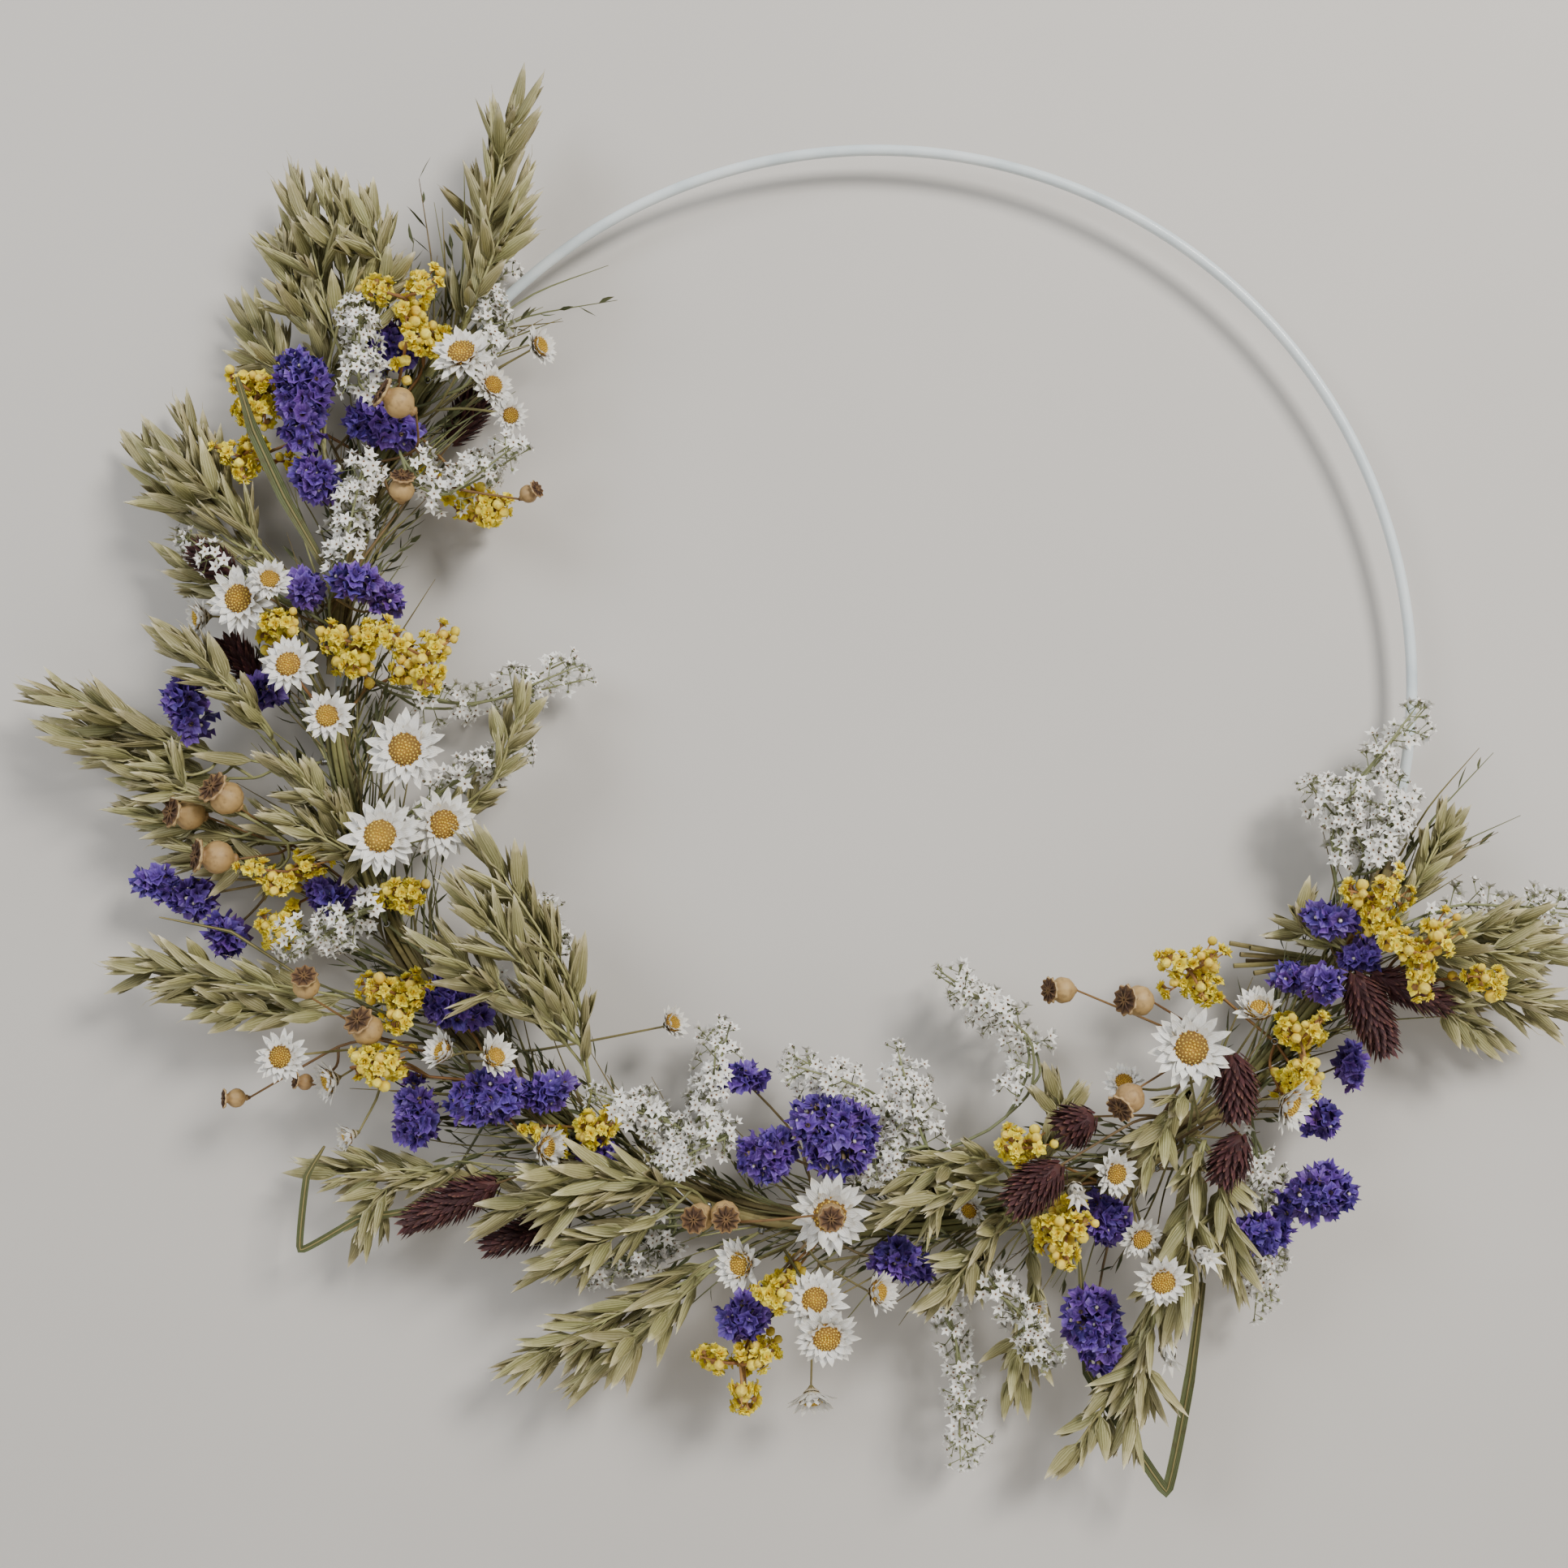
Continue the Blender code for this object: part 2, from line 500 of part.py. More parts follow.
class Sprout:
    """A spikelet, bloom or star at a share of its stem's length, or a cup on one of its head's faces."""

    def __init__(self, host, share, base, axis, kind, length, half):
        self.host, self.share, self.base, self.axis = host, share, base, axis
        self.kind, self.length, self.half = kind, length, half

    def nudge(self, rng):
        self.axis = unit(self.axis + vec(rng.uniform(-1, 1), rng.uniform(-1, 0.6), rng.uniform(-1, 1)) * 0.3)

    def hull(self):
        at = [self.base + self.axis * (self.length * share) for share in (0.06, 0.14, 0.6, 1)]
        if self.kind == "spikelet":
            return [(at[1], at[2], self.half), (at[2], at[3], self.half * 0.6)]
        if self.kind == "cup":
            heart = self.base + self.axis * (self.length * 0.8)
            return [(self.base, heart, self.half * 0.75), (heart, heart, self.half * 1.06)]
        if self.kind == "bloom":
            middle = self.base + self.axis * (self.length * 0.55)
            return [(at[1], middle, self.half * 0.7), (middle, middle, self.half * 1.1)]
        mouth = at[3] - self.axis * 0.6
        return [(at[1], at[2], self.half * 0.55), (mouth, mouth, self.half)]

    def shape(self, work, corners):
        """Lofts out of the corners of a face: a middle ring, then the tip. A cup's tip is sunk into its mouth."""
        middle_at, tip_at = SPROUTS[self.kind]
        points = [vec(*corner.co) for corner in corners]
        heart = sum(points) / len(points)
        middle = []
        for point in points:
            out = point - heart
            out = unit(out - self.axis * float(out @ self.axis))
            middle.append(work.verts.new(self.base + self.axis * (self.length * middle_at) + out * self.half))
        loft(work, corners, middle)
        if tip_at is None:
            work.faces.new(middle)
        else:
            loft(work, middle, [work.verts.new(self.base + self.axis * (self.length * tip_at))])


SPROUTS = {"spikelet": (0.36, 1.0), "bloom": (0.55, 1.0), "star": (1.0, None), "cup": (0.92, 0.55)}


class Stem:
    """A three sided stem from its head or tip down to a joint, with what sprouts along it.

    A stem without a head has a corner at the back, so that its flat sides look to the front, left and right.
    """

    sides = 3
    step = 0.75

    def __init__(self, points, radii, head=None):
        self.points, self.radii, self.head, self.sprouts = list(points), list(radii), head, []
        self.grown = sum(float(np.linalg.norm(b - a)) for a, b in zip(self.points, self.points[1:]))

    def hull(self):
        pairs = zip(self.points, self.points[1:], self.radii, self.radii[1:])
        found = [(a, b, max(r, s)) for a, b, r, s in pairs]
        return found + (self.head.hull() if self.head else []) + [h for sprout in self.sprouts for h in sprout.hull()]

    def stations(self):
        """Rings along the stem: (point, direction, radius, sprouts that leave before the next ring)."""
        spans = [float(np.linalg.norm(b - a)) for a, b in zip(self.points, self.points[1:])]
        whole = sum(spans)
        reached = [sum(spans[:i]) for i in range(len(self.points))]
        groups = {}
        for sprout in self.sprouts:
            if sprout.share > 0 and self.grown > 0:
                groups.setdefault(round(sprout.share * self.grown, 2), []).append(sprout)
        marks = []
        for place_at, sprouts in groups.items():
            first = max(min(place_at - self.step, self.grown - 2 * self.step - 0.35), 0.4)
            marks += [(first, sprouts), (first + 2 * self.step, [])]
        busy = [(first - 0.3, first + 2 * self.step + 0.3) for first, sprouts in marks if sprouts]
        marks += [(far, []) for far in reached if not any(a < far < b for a, b in busy)]
        rings = []
        for far, sprouts in sorted(marks, key=lambda mark: mark[0]):
            point, way = along(self.points, far / whole)
            radius = float(np.interp(far, reached, self.radii))
            rings.append((point, way, radius, sprouts))
        return rings

    def shape(self, work):
        low = self.head.shape(work) if self.head else None
        rings = self.stations()
        u, v = square_to(self.head.axis) if self.head else square_to(rings[0][1])
        if not self.head:
            back = vec(0, 1, 0) - rings[0][1] * float(rings[0][1][1])
            back = unit(back) if np.linalg.norm(back) > 0.2 else u
            u, v = back, np.cross(rings[0][1], back)
        before = None
        for number, (point, way, radius, sprouts) in enumerate(rings):
            ahead = way if number in (0, len(rings) - 1) else unit(way + unit(point - rings[number - 1][0]))
            if self.head and number == 0:
                ahead = -self.head.axis
            u = unit(u - ahead * float(u @ ahead))
            v = np.cross(u, ahead) if self.head else np.cross(ahead, u)
            if self.head:
                v = -np.cross(ahead, u)
            here = ring(work, point, u, v, radius, self.sides if radius else 1)
            if before is None and low is not None:
                loft(work, low, here)
            elif before is None:
                self.close_tip(work, here)
            elif radius:
                self.side_faces(work, before[0], here, before[1])
            else:
                loft(work, before[0], here)
            before = (here, sprouts)
        if len(before[0]) > 1:
            work.faces.new(before[0])

    def close_tip(self, work, here):
        top = [sprout for sprout in self.sprouts if sprout.share <= 0]
        if top:
            top[0].shape(work, here)
        else:
            work.faces.new(here)

    def side_faces(self, work, low, high, sprouts):
        """Joins two rings. Each sprout takes the side face that looks its way most."""
        faces = [[low[i], low[(i + 1) % 3], high[(i + 1) % 3], high[i]] for i in range(self.sides)]
        middle = sum((vec(*vert.co) for vert in low + high), vec(0, 0, 0)) / (2 * self.sides)
        for sprout in sprouts:
            def facing(corners):
                return float(unit(sum(vec(*c.co) for c in corners) / 4 - middle) @ sprout.axis)
            best = max(faces, key=facing)
            faces.remove(best)
            sprout.shape(work, best)
        for corners in faces:
            work.faces.new(corners)


class Knot:
    """Where a node's stems meet, against the bound stems."""

    def __init__(self, centre, axis):
        self.centre, self.axis = centre, axis

    def hull(self):
        return [(self.centre, self.centre, KNOT)]

    def shape(self, work):
        turn = Vector((0, 0, 1)).rotation_difference(Vector(self.axis)).to_matrix().to_4x4()
        stand = Matrix.Translation(Vector(self.centre)) @ turn
        bmesh.ops.create_uvsphere(work, u_segments=4, v_segments=2, radius=KNOT, matrix=stand)


class Tube:
    """A plain tube of one radius through points, for wire, bound stems and stalks: a curve with a round bevel."""

    def __init__(self, points, radius, bevel=0):
        self.points, self.radius, self.bevel = points, radius, bevel

    def hull(self):
        return [(a, b, self.radius) for a, b in zip(self.points, self.points[1:])]

    def mesh(self, name):
        curve = bpy.data.curves.new(name, "CURVE")
        curve.dimensions = "3D"
        curve.bevel_depth = self.radius * METRES
        curve.bevel_resolution = self.bevel
        curve.use_fill_caps = True
        spline = curve.splines.new("POLY")
        spline.points.add(len(self.points) - 1)
        for point, at in zip(spline.points, self.points):
            point.co = (*(at * METRES), 1)
        return welded(curve)


class Blade:
    """A leaf: four sided, wide one way and flat the other, and pointed at its tip."""

    def __init__(self, points, radii, flat, wide):
        self.points, self.radii, self.flat, self.wide = points, radii, flat, wide

    def hull(self):
        pairs = zip(self.points, self.points[1:], self.radii, self.radii[1:])
        return [(a, b, max(r, s)) for a, b, r, s in pairs]

    def shape(self, work):
        points = self.points
        last = len(points) - 1
        side, before = self.wide, None
        for number, (point, radius) in enumerate(zip(points, self.radii)):
            way = unit(points[min(number + 1, last)] - points[max(number - 1, 0)])
            side = unit(side - way * float(side @ way))
            here = ring(work, point, side, np.cross(way, side) * self.flat, radius, 4)
            if before is None:
                work.faces.new(here)
            else:
                loft(work, before, here)
            before = here
        work.faces.new(before)


# Room: every piece keeps clear of the pieces of other nodes


def closest(p, q, s, t):
    """Least distances between capsules p-q (n by 1) and s-t (1 by m)."""
    one, two, off = q - p, t - s, p - s
    a = (one * one).sum(-1) + 1e-9
    e = (two * two).sum(-1) + 1e-9
    f, c, b = (two * off).sum(-1), (one * off).sum(-1), (one * two).sum(-1)
    first = np.clip((b * f - c * e) / np.maximum(a * e - b * b, 1e-9), 0, 1)
    second = (b * first + f) / e
    first = np.where(second < 0, np.clip(-c / a, 0, 1), np.where(second > 1, np.clip((b - c) / a, 0, 1), first))
    second = np.clip(second, 0, 1)
    apart = p + one * first[..., None] - s - two * second[..., None]
    return np.sqrt((apart * apart).sum(-1))


class Room:
    def __init__(self):
        self.starts, self.ends = np.zeros((0, 3)), np.zeros((0, 3))
        self.radii, self.owners = np.zeros(0), np.zeros(0, int)

    def add(self, owner, pieces):
        hull = [capsule for piece in pieces for capsule in piece.hull()]
        self.starts = np.vstack([self.starts, [h[0] for h in hull]])
        self.ends = np.vstack([self.ends, [h[1] for h in hull]])
        self.radii = np.concatenate([self.radii, [h[2] for h in hull]])
        self.owners = np.concatenate([self.owners, [owner] * len(hull)])

    def crossed(self, owner, piece, gap=GAP):
        """Whether a piece comes too near another owner's. With no owner given, every piece counts."""
        hull = piece.hull()
        p, q = np.array([h[0] for h in hull]), np.array([h[1] for h in hull])
        r = np.array([h[2] for h in hull])
        if -max(p[:, 1].max(), q[:, 1].max()) < LOWEST_LIFT or -min(p[:, 1].min(), q[:, 1].min()) > HIGHEST_LIFT:
            return True
        low = (np.minimum(p, q) - r[:, None]).min(0) - gap
        high = (np.maximum(p, q) + r[:, None]).max(0) + gap
        other_low = np.minimum(self.starts, self.ends) - self.radii[:, None]
        other_high = np.maximum(self.starts, self.ends) + self.radii[:, None]
        near = (self.owners != owner) & (other_low < high).all(1) & (other_high > low).all(1)
        if not near.any():
            return False
        apart = closest(p[:, None], q[:, None], self.starts[None, near], self.ends[None, near])
        return bool((apart < r[:, None] + self.radii[None, near] + gap).any())


def siblings_cross(one, others):
    """Whether a sprout runs through one on the same stem. Only spikelets are compared down to their feet."""
    for other in others:
        for a, b, r in one.hull()[0 if one.kind == "spikelet" else -1:]:
            for c, d, s in other.hull()[0 if other.kind == "spikelet" else -1:]:
                if closest(a[None, None], b[None, None], c[None, None], d[None, None])[0, 0] < (r + s) * 0.62:
                    return True
    return False


class Node:
    """One node: its pieces, and the joints of its stems that others may grow from."""

    def __init__(self, name, number, room):
        self.name, self.number, self.room, self.pieces, self.joints = name, number, room, [], []
        self.rng = random.Random(number)

    def clear(self, pieces):
        return not any(self.room.crossed(self.number, piece) for piece in pieces)

    def keep(self, pieces):
        self.pieces += pieces
        self.room.add(self.number, pieces)

    def tie(self, angle, heart):
        """Puts the knot where the node's stems meet, on the bound stems, on the side of the node's heart."""
        best = None
        for shift in (0, 2, -2, 4, -4, 6, -6, 8, -8, 11, -11, 14, -14):
            middle = round_hoop(angle + shift, HOOP_RADIUS, STEMS_LIFT)
            outward = unit(middle - vec(0, -STEMS_LIFT, HOOP_Z))
            if in_gap(angle + shift):
                continue
            toward = heart - middle
            first = math.atan2(float(toward @ outward), max(-toward[1], 1.0))
            for swing in (0, 25, -25, 50, -50, 75, -75, 100, -100):
                turn = max(-1.9, min(1.9, first + math.radians(swing)))
                normal = vec(0, -1, 0) * math.cos(turn) + outward * math.sin(turn)
                knot = Knot(middle + normal * (STEMS_RADIUS + KNOT_SEAT + KNOT), normal)
                cost = abs(shift) + abs(swing) * 0.1
                if (best is None or cost < best[0]) and not self.room.crossed(self.number, knot, 0.1):
                    best = (cost, knot)
        self.keep([best[1]])
        self.joints.append((best[1].centre, 0.0))

    def route(self, start, leave, radius=STALK):
        """The rest of a stem, from the start to the nearest of the node's joints that it can reach, with one bend."""
        ranked = sorted(self.joints, key=lambda j: float(np.linalg.norm(start - j[0])) + 0.45 * j[1])
        for joint, far in ranked[:6]:
            span = float(np.linalg.norm(joint - start))
            if span < 3.0:
                continue
            middle = (start + joint) / 2 + leave * min(span * 0.22, 14.0)
            u, v = square_to(unit(joint - start))
            for reach in (0, 0.12, 0.22, 0.34, 0.48):
                for turn in range(8 if reach else 1):
                    angle = turn * math.pi / 4
                    bend = middle + (u * math.cos(angle) + v * math.sin(angle)) * (reach * span + 2 * bool(reach))
                    if not self.room.crossed(self.number, Tube([start, bend, joint], radius)):
                        neck = joint + unit(bend - joint) * NECK
                        return [bend, neck, joint], [(bend, far + float(np.linalg.norm(joint - bend)))]
        return None, []


def in_gap(angle):
    return not any(first + 1.0 < angle < last - 1.0 for _, first, last in RUNS)


# Growing each kind


def fitting(node, extras, rng):
    """The sprouts that find room, each tried a few ways."""
    kept = []
    for sprout in extras:
        for _ in range(5):
            if not node.room.crossed(node.number, sprout) and not node.room.crossed(None, sprout, 0.0):
                if not siblings_cross(sprout, kept):
                    kept.append(sprout)
                    break
            sprout.nudge(rng)
    return kept


def settle(node, build, least=0.6, wanted=None):
    """Tries a head at each lift and keeps the first that fits, or the one that loses the fewest sprouts."""
    best = None
    for number, lift in enumerate(LIFT_TRIES):
        rng = random.Random(number + 100 * node.number)
        stems, extras, leave = build(lift)
        if not node.clear(stems):
            continue
        kept = fitting(node, extras, rng)
        lost = len(extras) - len(kept)
        cost = lost + number * 0.15
        if len(kept) < least * len(extras) or (best is not None and best[0] <= cost):
            continue
        start = stems[0].points[-1]
        more, joints = node.route(start, leave)
        if more is None:
            continue
        best = (cost, stems, kept, more, joints)
        if lost == 0:
            break
    if best is None:
        return False
    _, stems, kept, more, joints = best
    for sprout in kept:
        (sprout.host.cups if isinstance(sprout.host, Cluster) else sprout.host.sprouts).append(sprout)
    stems[0].points += more
    stems[0].radii += [STALK, STALK, 0.0]
    node.keep(stems)
    node.joints += joints
    return True


def grow_oats(node, tip_lift, base_lift, count, path):
    seed = node.rng.random()

    def build(lift):
        rng = random.Random(seed)
        lifts = spread(tip_lift + lift, base_lift + lift, len(path))
        points = [place(x, y, at) for (x, y), at in zip(path, lifts)]
        length = sum(float(np.linalg.norm(b - a)) for a, b in zip(points, points[1:]))
        size = min(25.0, max(18.0, length * 0.34))
        tip_way = unit(points[0] - points[1])
        points[0] = points[0] - tip_way * size * 0.85
        points[1:] = [(points[1] + points[2]) / 2]
        stem = Stem(points, [0.45, STALK])
        extras = [Sprout(stem, 0, points[0], tip_way, "spikelet", size, 2.1)]
        for share, side in whorled(count - 1, 0.24, 0.8):
            at, way = along(points, share)
            axis = unit(-way + sided(way, side, rng.uniform(0.4, 0.6), rng.uniform(0.0, 0.1)))
            extras.append(Sprout(stem, share, at, axis, "spikelet", size * rng.uniform(0.9, 1.05), rng.uniform(1.9, 2.3)))
        return [stem], extras, unit(points[-1] - points[-2])

    return settle(node, build, least=0.5)


def headed(head):
    return [Stem([head.base], [STALK * 0.9], head)], -head.axis


def grow_daisy(node, x, y, lift, width, lean, close):
    roll = node.rng.random() * 3

    def build(more):
        centre, axis = place(x, y, lift + more), unit(vec(lean[0], -1, lean[1]))
        if close > 70:
            stems, leave = headed(Turned("bud", centre, axis, width / 2, roll))
        else:
            stems, leave = headed(Daisy(centre, axis, width / 2, close, roll))
        return stems, [], leave

    return settle(node, build)


def grow_pod(node, x, y, lift, width, lean):
    roll = node.rng.random() * 3

    def build(more):
        axis = unit(vec(lean[0], -1, lean[1]))
        stems, leave = headed(Turned("pod", place(x, y, lift + more), axis, width / 2, roll))
        return stems, [], leave

    return settle(node, build)


def grow_brush(node, lift, width, base, tip):
    roll = node.rng.random() * 3

    def build(more):
        low, high = place(*base, lift + more), place(*tip, lift + more + 3)
        stems, leave = headed(Turned("brush", low, unit(high - low), width / 2, roll, float(np.linalg.norm(high - low))))
        return stems, [], leave

    return settle(node, build)


def grow_statice(node, x, y, lift, width, height, count):
    seed = node.rng.random()

    def build(more):
        rng = random.Random(seed)
        head = Cluster(place(x, y, lift + more), width / 2, height / 2, count)
        cup = min(5.0, max(3.4, (width + height) * 0.4 / count + 1.6))
        extras = []
        for i in range(count):
            turn = head.turn(i)
            base = head.centre + head.reach(turn, 0.26)
            goal = head.centre + head.reach(turn, 0.86) - vec(0, rng.uniform(1.5, 5.0), 0)
            length = max(float(np.linalg.norm(goal - base)), 4.0)
            extras.append(Sprout(head, i, base, unit(goal - base), "cup", length, cup * rng.uniform(0.85, 1.05)))
        front = head.centre - vec(0, 1.6, 0)
        extras.append(Sprout(head, count, front, unit(vec(rng.uniform(-0.4, 0.4), -1, 0.3)), "cup", 5.2, cup))
        stems, leave = headed(head)
        return stems, extras, leave

    return settle(node, build, least=0.4)


def grow_yellow(node, x, y, lift, width, height, twigs, blooms):
    seed = node.rng.random()

    def build(more):
        rng = random.Random(seed)
        centre = place(x, y, lift + more)
        hub = centre + vec(0, 4, 0)
        stems, extras = [], []
        for i in range(twigs):
            turn = math.tau * (i + 0.3) / twigs + rng.uniform(-0.3, 0.3)
            far = vec(math.cos(turn) * width / 2, rng.uniform(-7, -1), math.sin(turn) * height / 2)
            if twigs == 1:
                hub, far = centre - vec(width / 2, -4, height / 4), vec(width / 2, -4, height / 4)
            end = hub + far * rng.uniform(0.75, 0.92)
            bend = hub + vec(far[0] * 0.4, -3.4, far[2] * 0.4) + vec(rng.uniform(-0.6, 0.6), 0, rng.uniform(-0.6, 0.6))
            twig = Stem([end, bend, hub], [0.42, 0.5, 0.5])
            if i:
                twig = Stem([end, bend, hub + unit(bend - hub) * NECK, hub], [0.42, 0.5, 0.5, 0.0])
            stems.append(twig)
            extras.append(Sprout(twig, 0, end, unit(end - bend + vec(0, -2, 0)), "bloom", 5.4, rng.uniform(2.2, 2.7)))
            for share, side in whorled(blooms - 1, 0.36, 0.5):
                at, way = along(twig.points, share)
                axis = unit(sided(way, side, 1.0, rng.uniform(0.1, 0.5)) - way * 0.2)
                extras.append(Sprout(twig, share, at, axis, "bloom", rng.uniform(6.0, 7.5), rng.uniform(2.3, 3.0)))
        clear = [twig for twig in stems if not node.room.crossed(node.number, twig)]
        if stems[0] in clear:
            stems = clear
        extras = [sprout for sprout in extras if sprout.host in stems]
        return stems, extras, vec(0, 1, 0)

    return settle(node, build, least=0.5)


def grow_stars(node, tip_lift, base_lift, count, path):
    seed = node.rng.random()

    def build(lift):
        rng = random.Random(seed)
        lifts = spread(tip_lift + lift, base_lift + lift, len(path))
        points = [place(x, y, at) for (x, y), at in zip(path, lifts)]
        points[1:] = [(points[1] + points[2]) / 2]
        stem = Stem(points, [0.42, STALK])
        extras = [Sprout(stem, 0, points[0], unit(points[0] - points[1]), "star", 5.0, 2.4)]
        for share, side in whorled(count - 1, 0.22, 0.75):
            at, way = along(points, share)
            axis = unit(sided(way, side, 0.9, rng.uniform(0.0, 0.3)) - way * 0.5)
            extras.append(Sprout(stem, share, at, axis, "star", rng.uniform(5.0, 7.0), 2.6))
        return [stem], extras, unit(points[-1] - points[-2])

    return settle(node, build, least=0.5)


def grow_leaf(node, tip_lift, base_lift, width, path):
    """A leaf's blade, which the route carries on to its joint as a stalk."""
    for more in LIFT_TRIES:
        lifts = spread(tip_lift + more, base_lift + more, len(path))
        points = [place(x, y, at) for (x, y), at in zip(path, lifts)]
        radii = [width * 0.16] + [width / 2] * (len(points) - 2) + [width * 0.3]
        wide = unit(np.cross(points[1] - points[0], vec(0, 1, 0)))
        blade = Blade(points, radii, max(0.8 / width, 0.2), wide)
        if not node.clear([blade]):
            continue
        way = unit(points[-1] - points[-2])
        tail, _ = node.route(points[-1] - way * 1.5, way)
        if tail:
            node.keep([blade, Stem([points[-1] - way * 1.5] + tail, [STALK] * 3 + [0.0])])
            return True
    return False


# The made parts


class Hoop:
    """The round tube, a closed ring."""

    steps, sides = 48, 6

    def hull(self):
        points = [round_hoop(360 * i / self.steps) for i in range(self.steps + 1)]
        return [(a, b, HOOP_TUBE / 2) for a, b in zip(points, points[1:])]

    def mesh(self, name):
        bpy.ops.mesh.primitive_torus_add(
            major_segments=self.steps,
            minor_segments=self.sides,
            major_radius=HOOP_RADIUS * METRES,
            minor_radius=HOOP_TUBE / 2 * METRES,
        )
        made = bpy.context.object
        mesh = made.data
        bpy.data.objects.remove(made)
        mesh.name = name
        mesh.transform(Matrix.Translation((0, 0, HOOP_Z * METRES)) @ Matrix.Rotation(math.radians(90), 4, "X"))
        return mesh


def bound_run(first, last):
    """A run of the bound stems along the hoop's front."""
    steps = max(int((last - first) / 7), 3)
    points = [round_hoop(angle, HOOP_RADIUS, STEMS_LIFT) for angle in spread(first, last, steps + 1)]
    return Tube(points, STEMS_RADIUS, 2)


def cut_ends():
    """Cut stems that splay inwards from the last run."""
    root = place(*CUT_ROOT, STEMS_LIFT)
    return [Tube([root, place(x, y, STEMS_LIFT + lift - 6)], 0.9) for x, y, lift in CUT_ENDS]


def wound_wire():
    """One wire wound round the hoop and the stems, six flat steps to a turn."""
    first, last = RUNS[0][1] + 2, RUNS[-1][2] - 2
    count = int((last - first) / WIRE_PITCH) * 6
    reach = WIRE_TURN / math.cos(math.pi / 6)
    lift = (STEMS_LIFT + STEMS_RADIUS - HOOP_TUBE / 2) / 2
    points = []
    for i in range(count + 1):
        turn = math.tau * (i + 0.5) / 6
        angle = first + (last - first) * i / count
        points.append(round_hoop(angle, HOOP_RADIUS + reach * math.sin(turn), lift + reach * math.cos(turn)))
    return Tube(points, WIRE)


# The whole layout

KINDS = (
    (DAISIES, grow_daisy), (PODS, grow_pod), (BRUSHES, grow_brush), (LEAVES, grow_leaf), (STATICE, grow_statice),
    (OATS, grow_oats), (YELLOWS, grow_yellow), (STARS, grow_stars),
)


def lay_out():
    """Every node's pieces, by name, and how many planned heads found no room."""
    room, nodes, missed = Room(), {}, []
    nodes["hoop"] = [Hoop()]
    room.add(-1, nodes["hoop"])
    for number, (name, first, last) in enumerate(RUNS):
        pieces = [bound_run(first, last)] + (cut_ends() if number == len(RUNS) - 1 else [])
        nodes[name] = pieces
        room.add(-2 - number, pieces)
    nodes["binding_wire"] = [wound_wire()]
    room.add(-20, nodes["binding_wire"])
    number = 0
    for plan, grow in KINDS:
        for name, (angle, entries) in plan.items():
            number += 1
            node = Node(name, number, room)
            node.tie(angle, heart_of(entries))
            for entry in entries:
                if not grow(node, *entry):
                    missed.append((name, entry))
            nodes[name] = node.pieces
    return nodes, missed


def heart_of(entries):
    """A rough middle of a node's heads, to choose the side of the stems that it is tied on."""
    points = []
    for entry in entries:
        if isinstance(entry[-1], list):
            points.append(place(*entry[-1][-1], entry[1]))
        elif isinstance(entry[-1], tuple) and isinstance(entry[-2], tuple):
            points.append(place(*entry[-2], entry[0]))
        else:
            points.append(place(entry[0], entry[1], entry[2] * 0.7))
    return sum(points) / len(points)


# Blender meshes


def welded(curve):
    """A curve's mesh with its caps joined on."""
    guide = bpy.data.objects.new(curve.name, curve)
    bpy.context.scene.collection.objects.link(guide)
    graph = bpy.context.evaluated_depsgraph_get()
    mesh = bpy.data.meshes.new_from_object(guide.evaluated_get(graph))
    bpy.data.objects.remove(guide)
    work = bmesh.new()
    work.from_mesh(mesh)
    bmesh.ops.remove_doubles(work, verts=work.verts, dist=0.000001)
    bmesh.ops.recalc_face_normals(work, faces=work.faces)
    work.to_mesh(mesh)
    work.free()
    return mesh


def mesh_of(name, piece):
    if hasattr(piece, "mesh"):
        return piece.mesh(name)
    mesh = bpy.data.meshes.new(name)
    work = bmesh.new()
    piece.shape(work)
    bmesh.ops.recalc_face_normals(work, faces=work.faces)
    if work.calc_volume(signed=True) < 0:
        bmesh.ops.reverse_faces(work, faces=work.faces)
    bmesh.ops.scale(work, vec=(METRES, METRES, METRES), verts=work.verts)
    work.to_mesh(mesh)
    work.free()
    return mesh


def largest_body(mesh):
    """Drops loose scraps and sealed hollows, so that one closed body stays."""
    work = bmesh.new()
    work.from_mesh(mesh)
    left, groups = set(work.faces), []
    while left:
        found, front = [], [left.pop()]
        while front:
            face = front.pop()
            found.append(face)
            for other in {f for edge in face.edges for f in edge.link_faces} & left:
                left.discard(other)
                front.append(other)
        groups.append(found)
    groups.sort(key=len, reverse=True)
    bmesh.ops.delete(work, geom=[face for group in groups[1:] for face in group], context="FACES")
    work.to_mesh(mesh)
    work.free()
    return len(groups) - 1


def fused(name, pieces, home):
    """One object from all the pieces of a node, joined by one Boolean union."""
    meshes = [mesh_of(name, piece) for piece in pieces]
    base = bpy.data.objects.new(name, meshes[0])
    home.objects.link(base)
    if len(meshes) == 1:
        return base, 0
    others = bpy.data.collections.new(name + "_pieces")
    bpy.context.scene.collection.children.link(others)
    for mesh in meshes[1:]:
        others.objects.link(bpy.data.objects.new(name + "_piece", mesh))
    join = base.modifiers.new("join", "BOOLEAN")
    join.operation = "UNION"
    join.operand_type = "COLLECTION"
    join.collection = others
    join.solver = "MANIFOLD"
    graph = bpy.context.evaluated_depsgraph_get()
    joined = bpy.data.meshes.new_from_object(base.evaluated_get(graph))
    base.modifiers.clear()
    base.data = joined
    for piece in list(others.objects):
        bpy.data.objects.remove(piece)
    bpy.data.collections.remove(others)
    return base, largest_body(joined)


# Materials

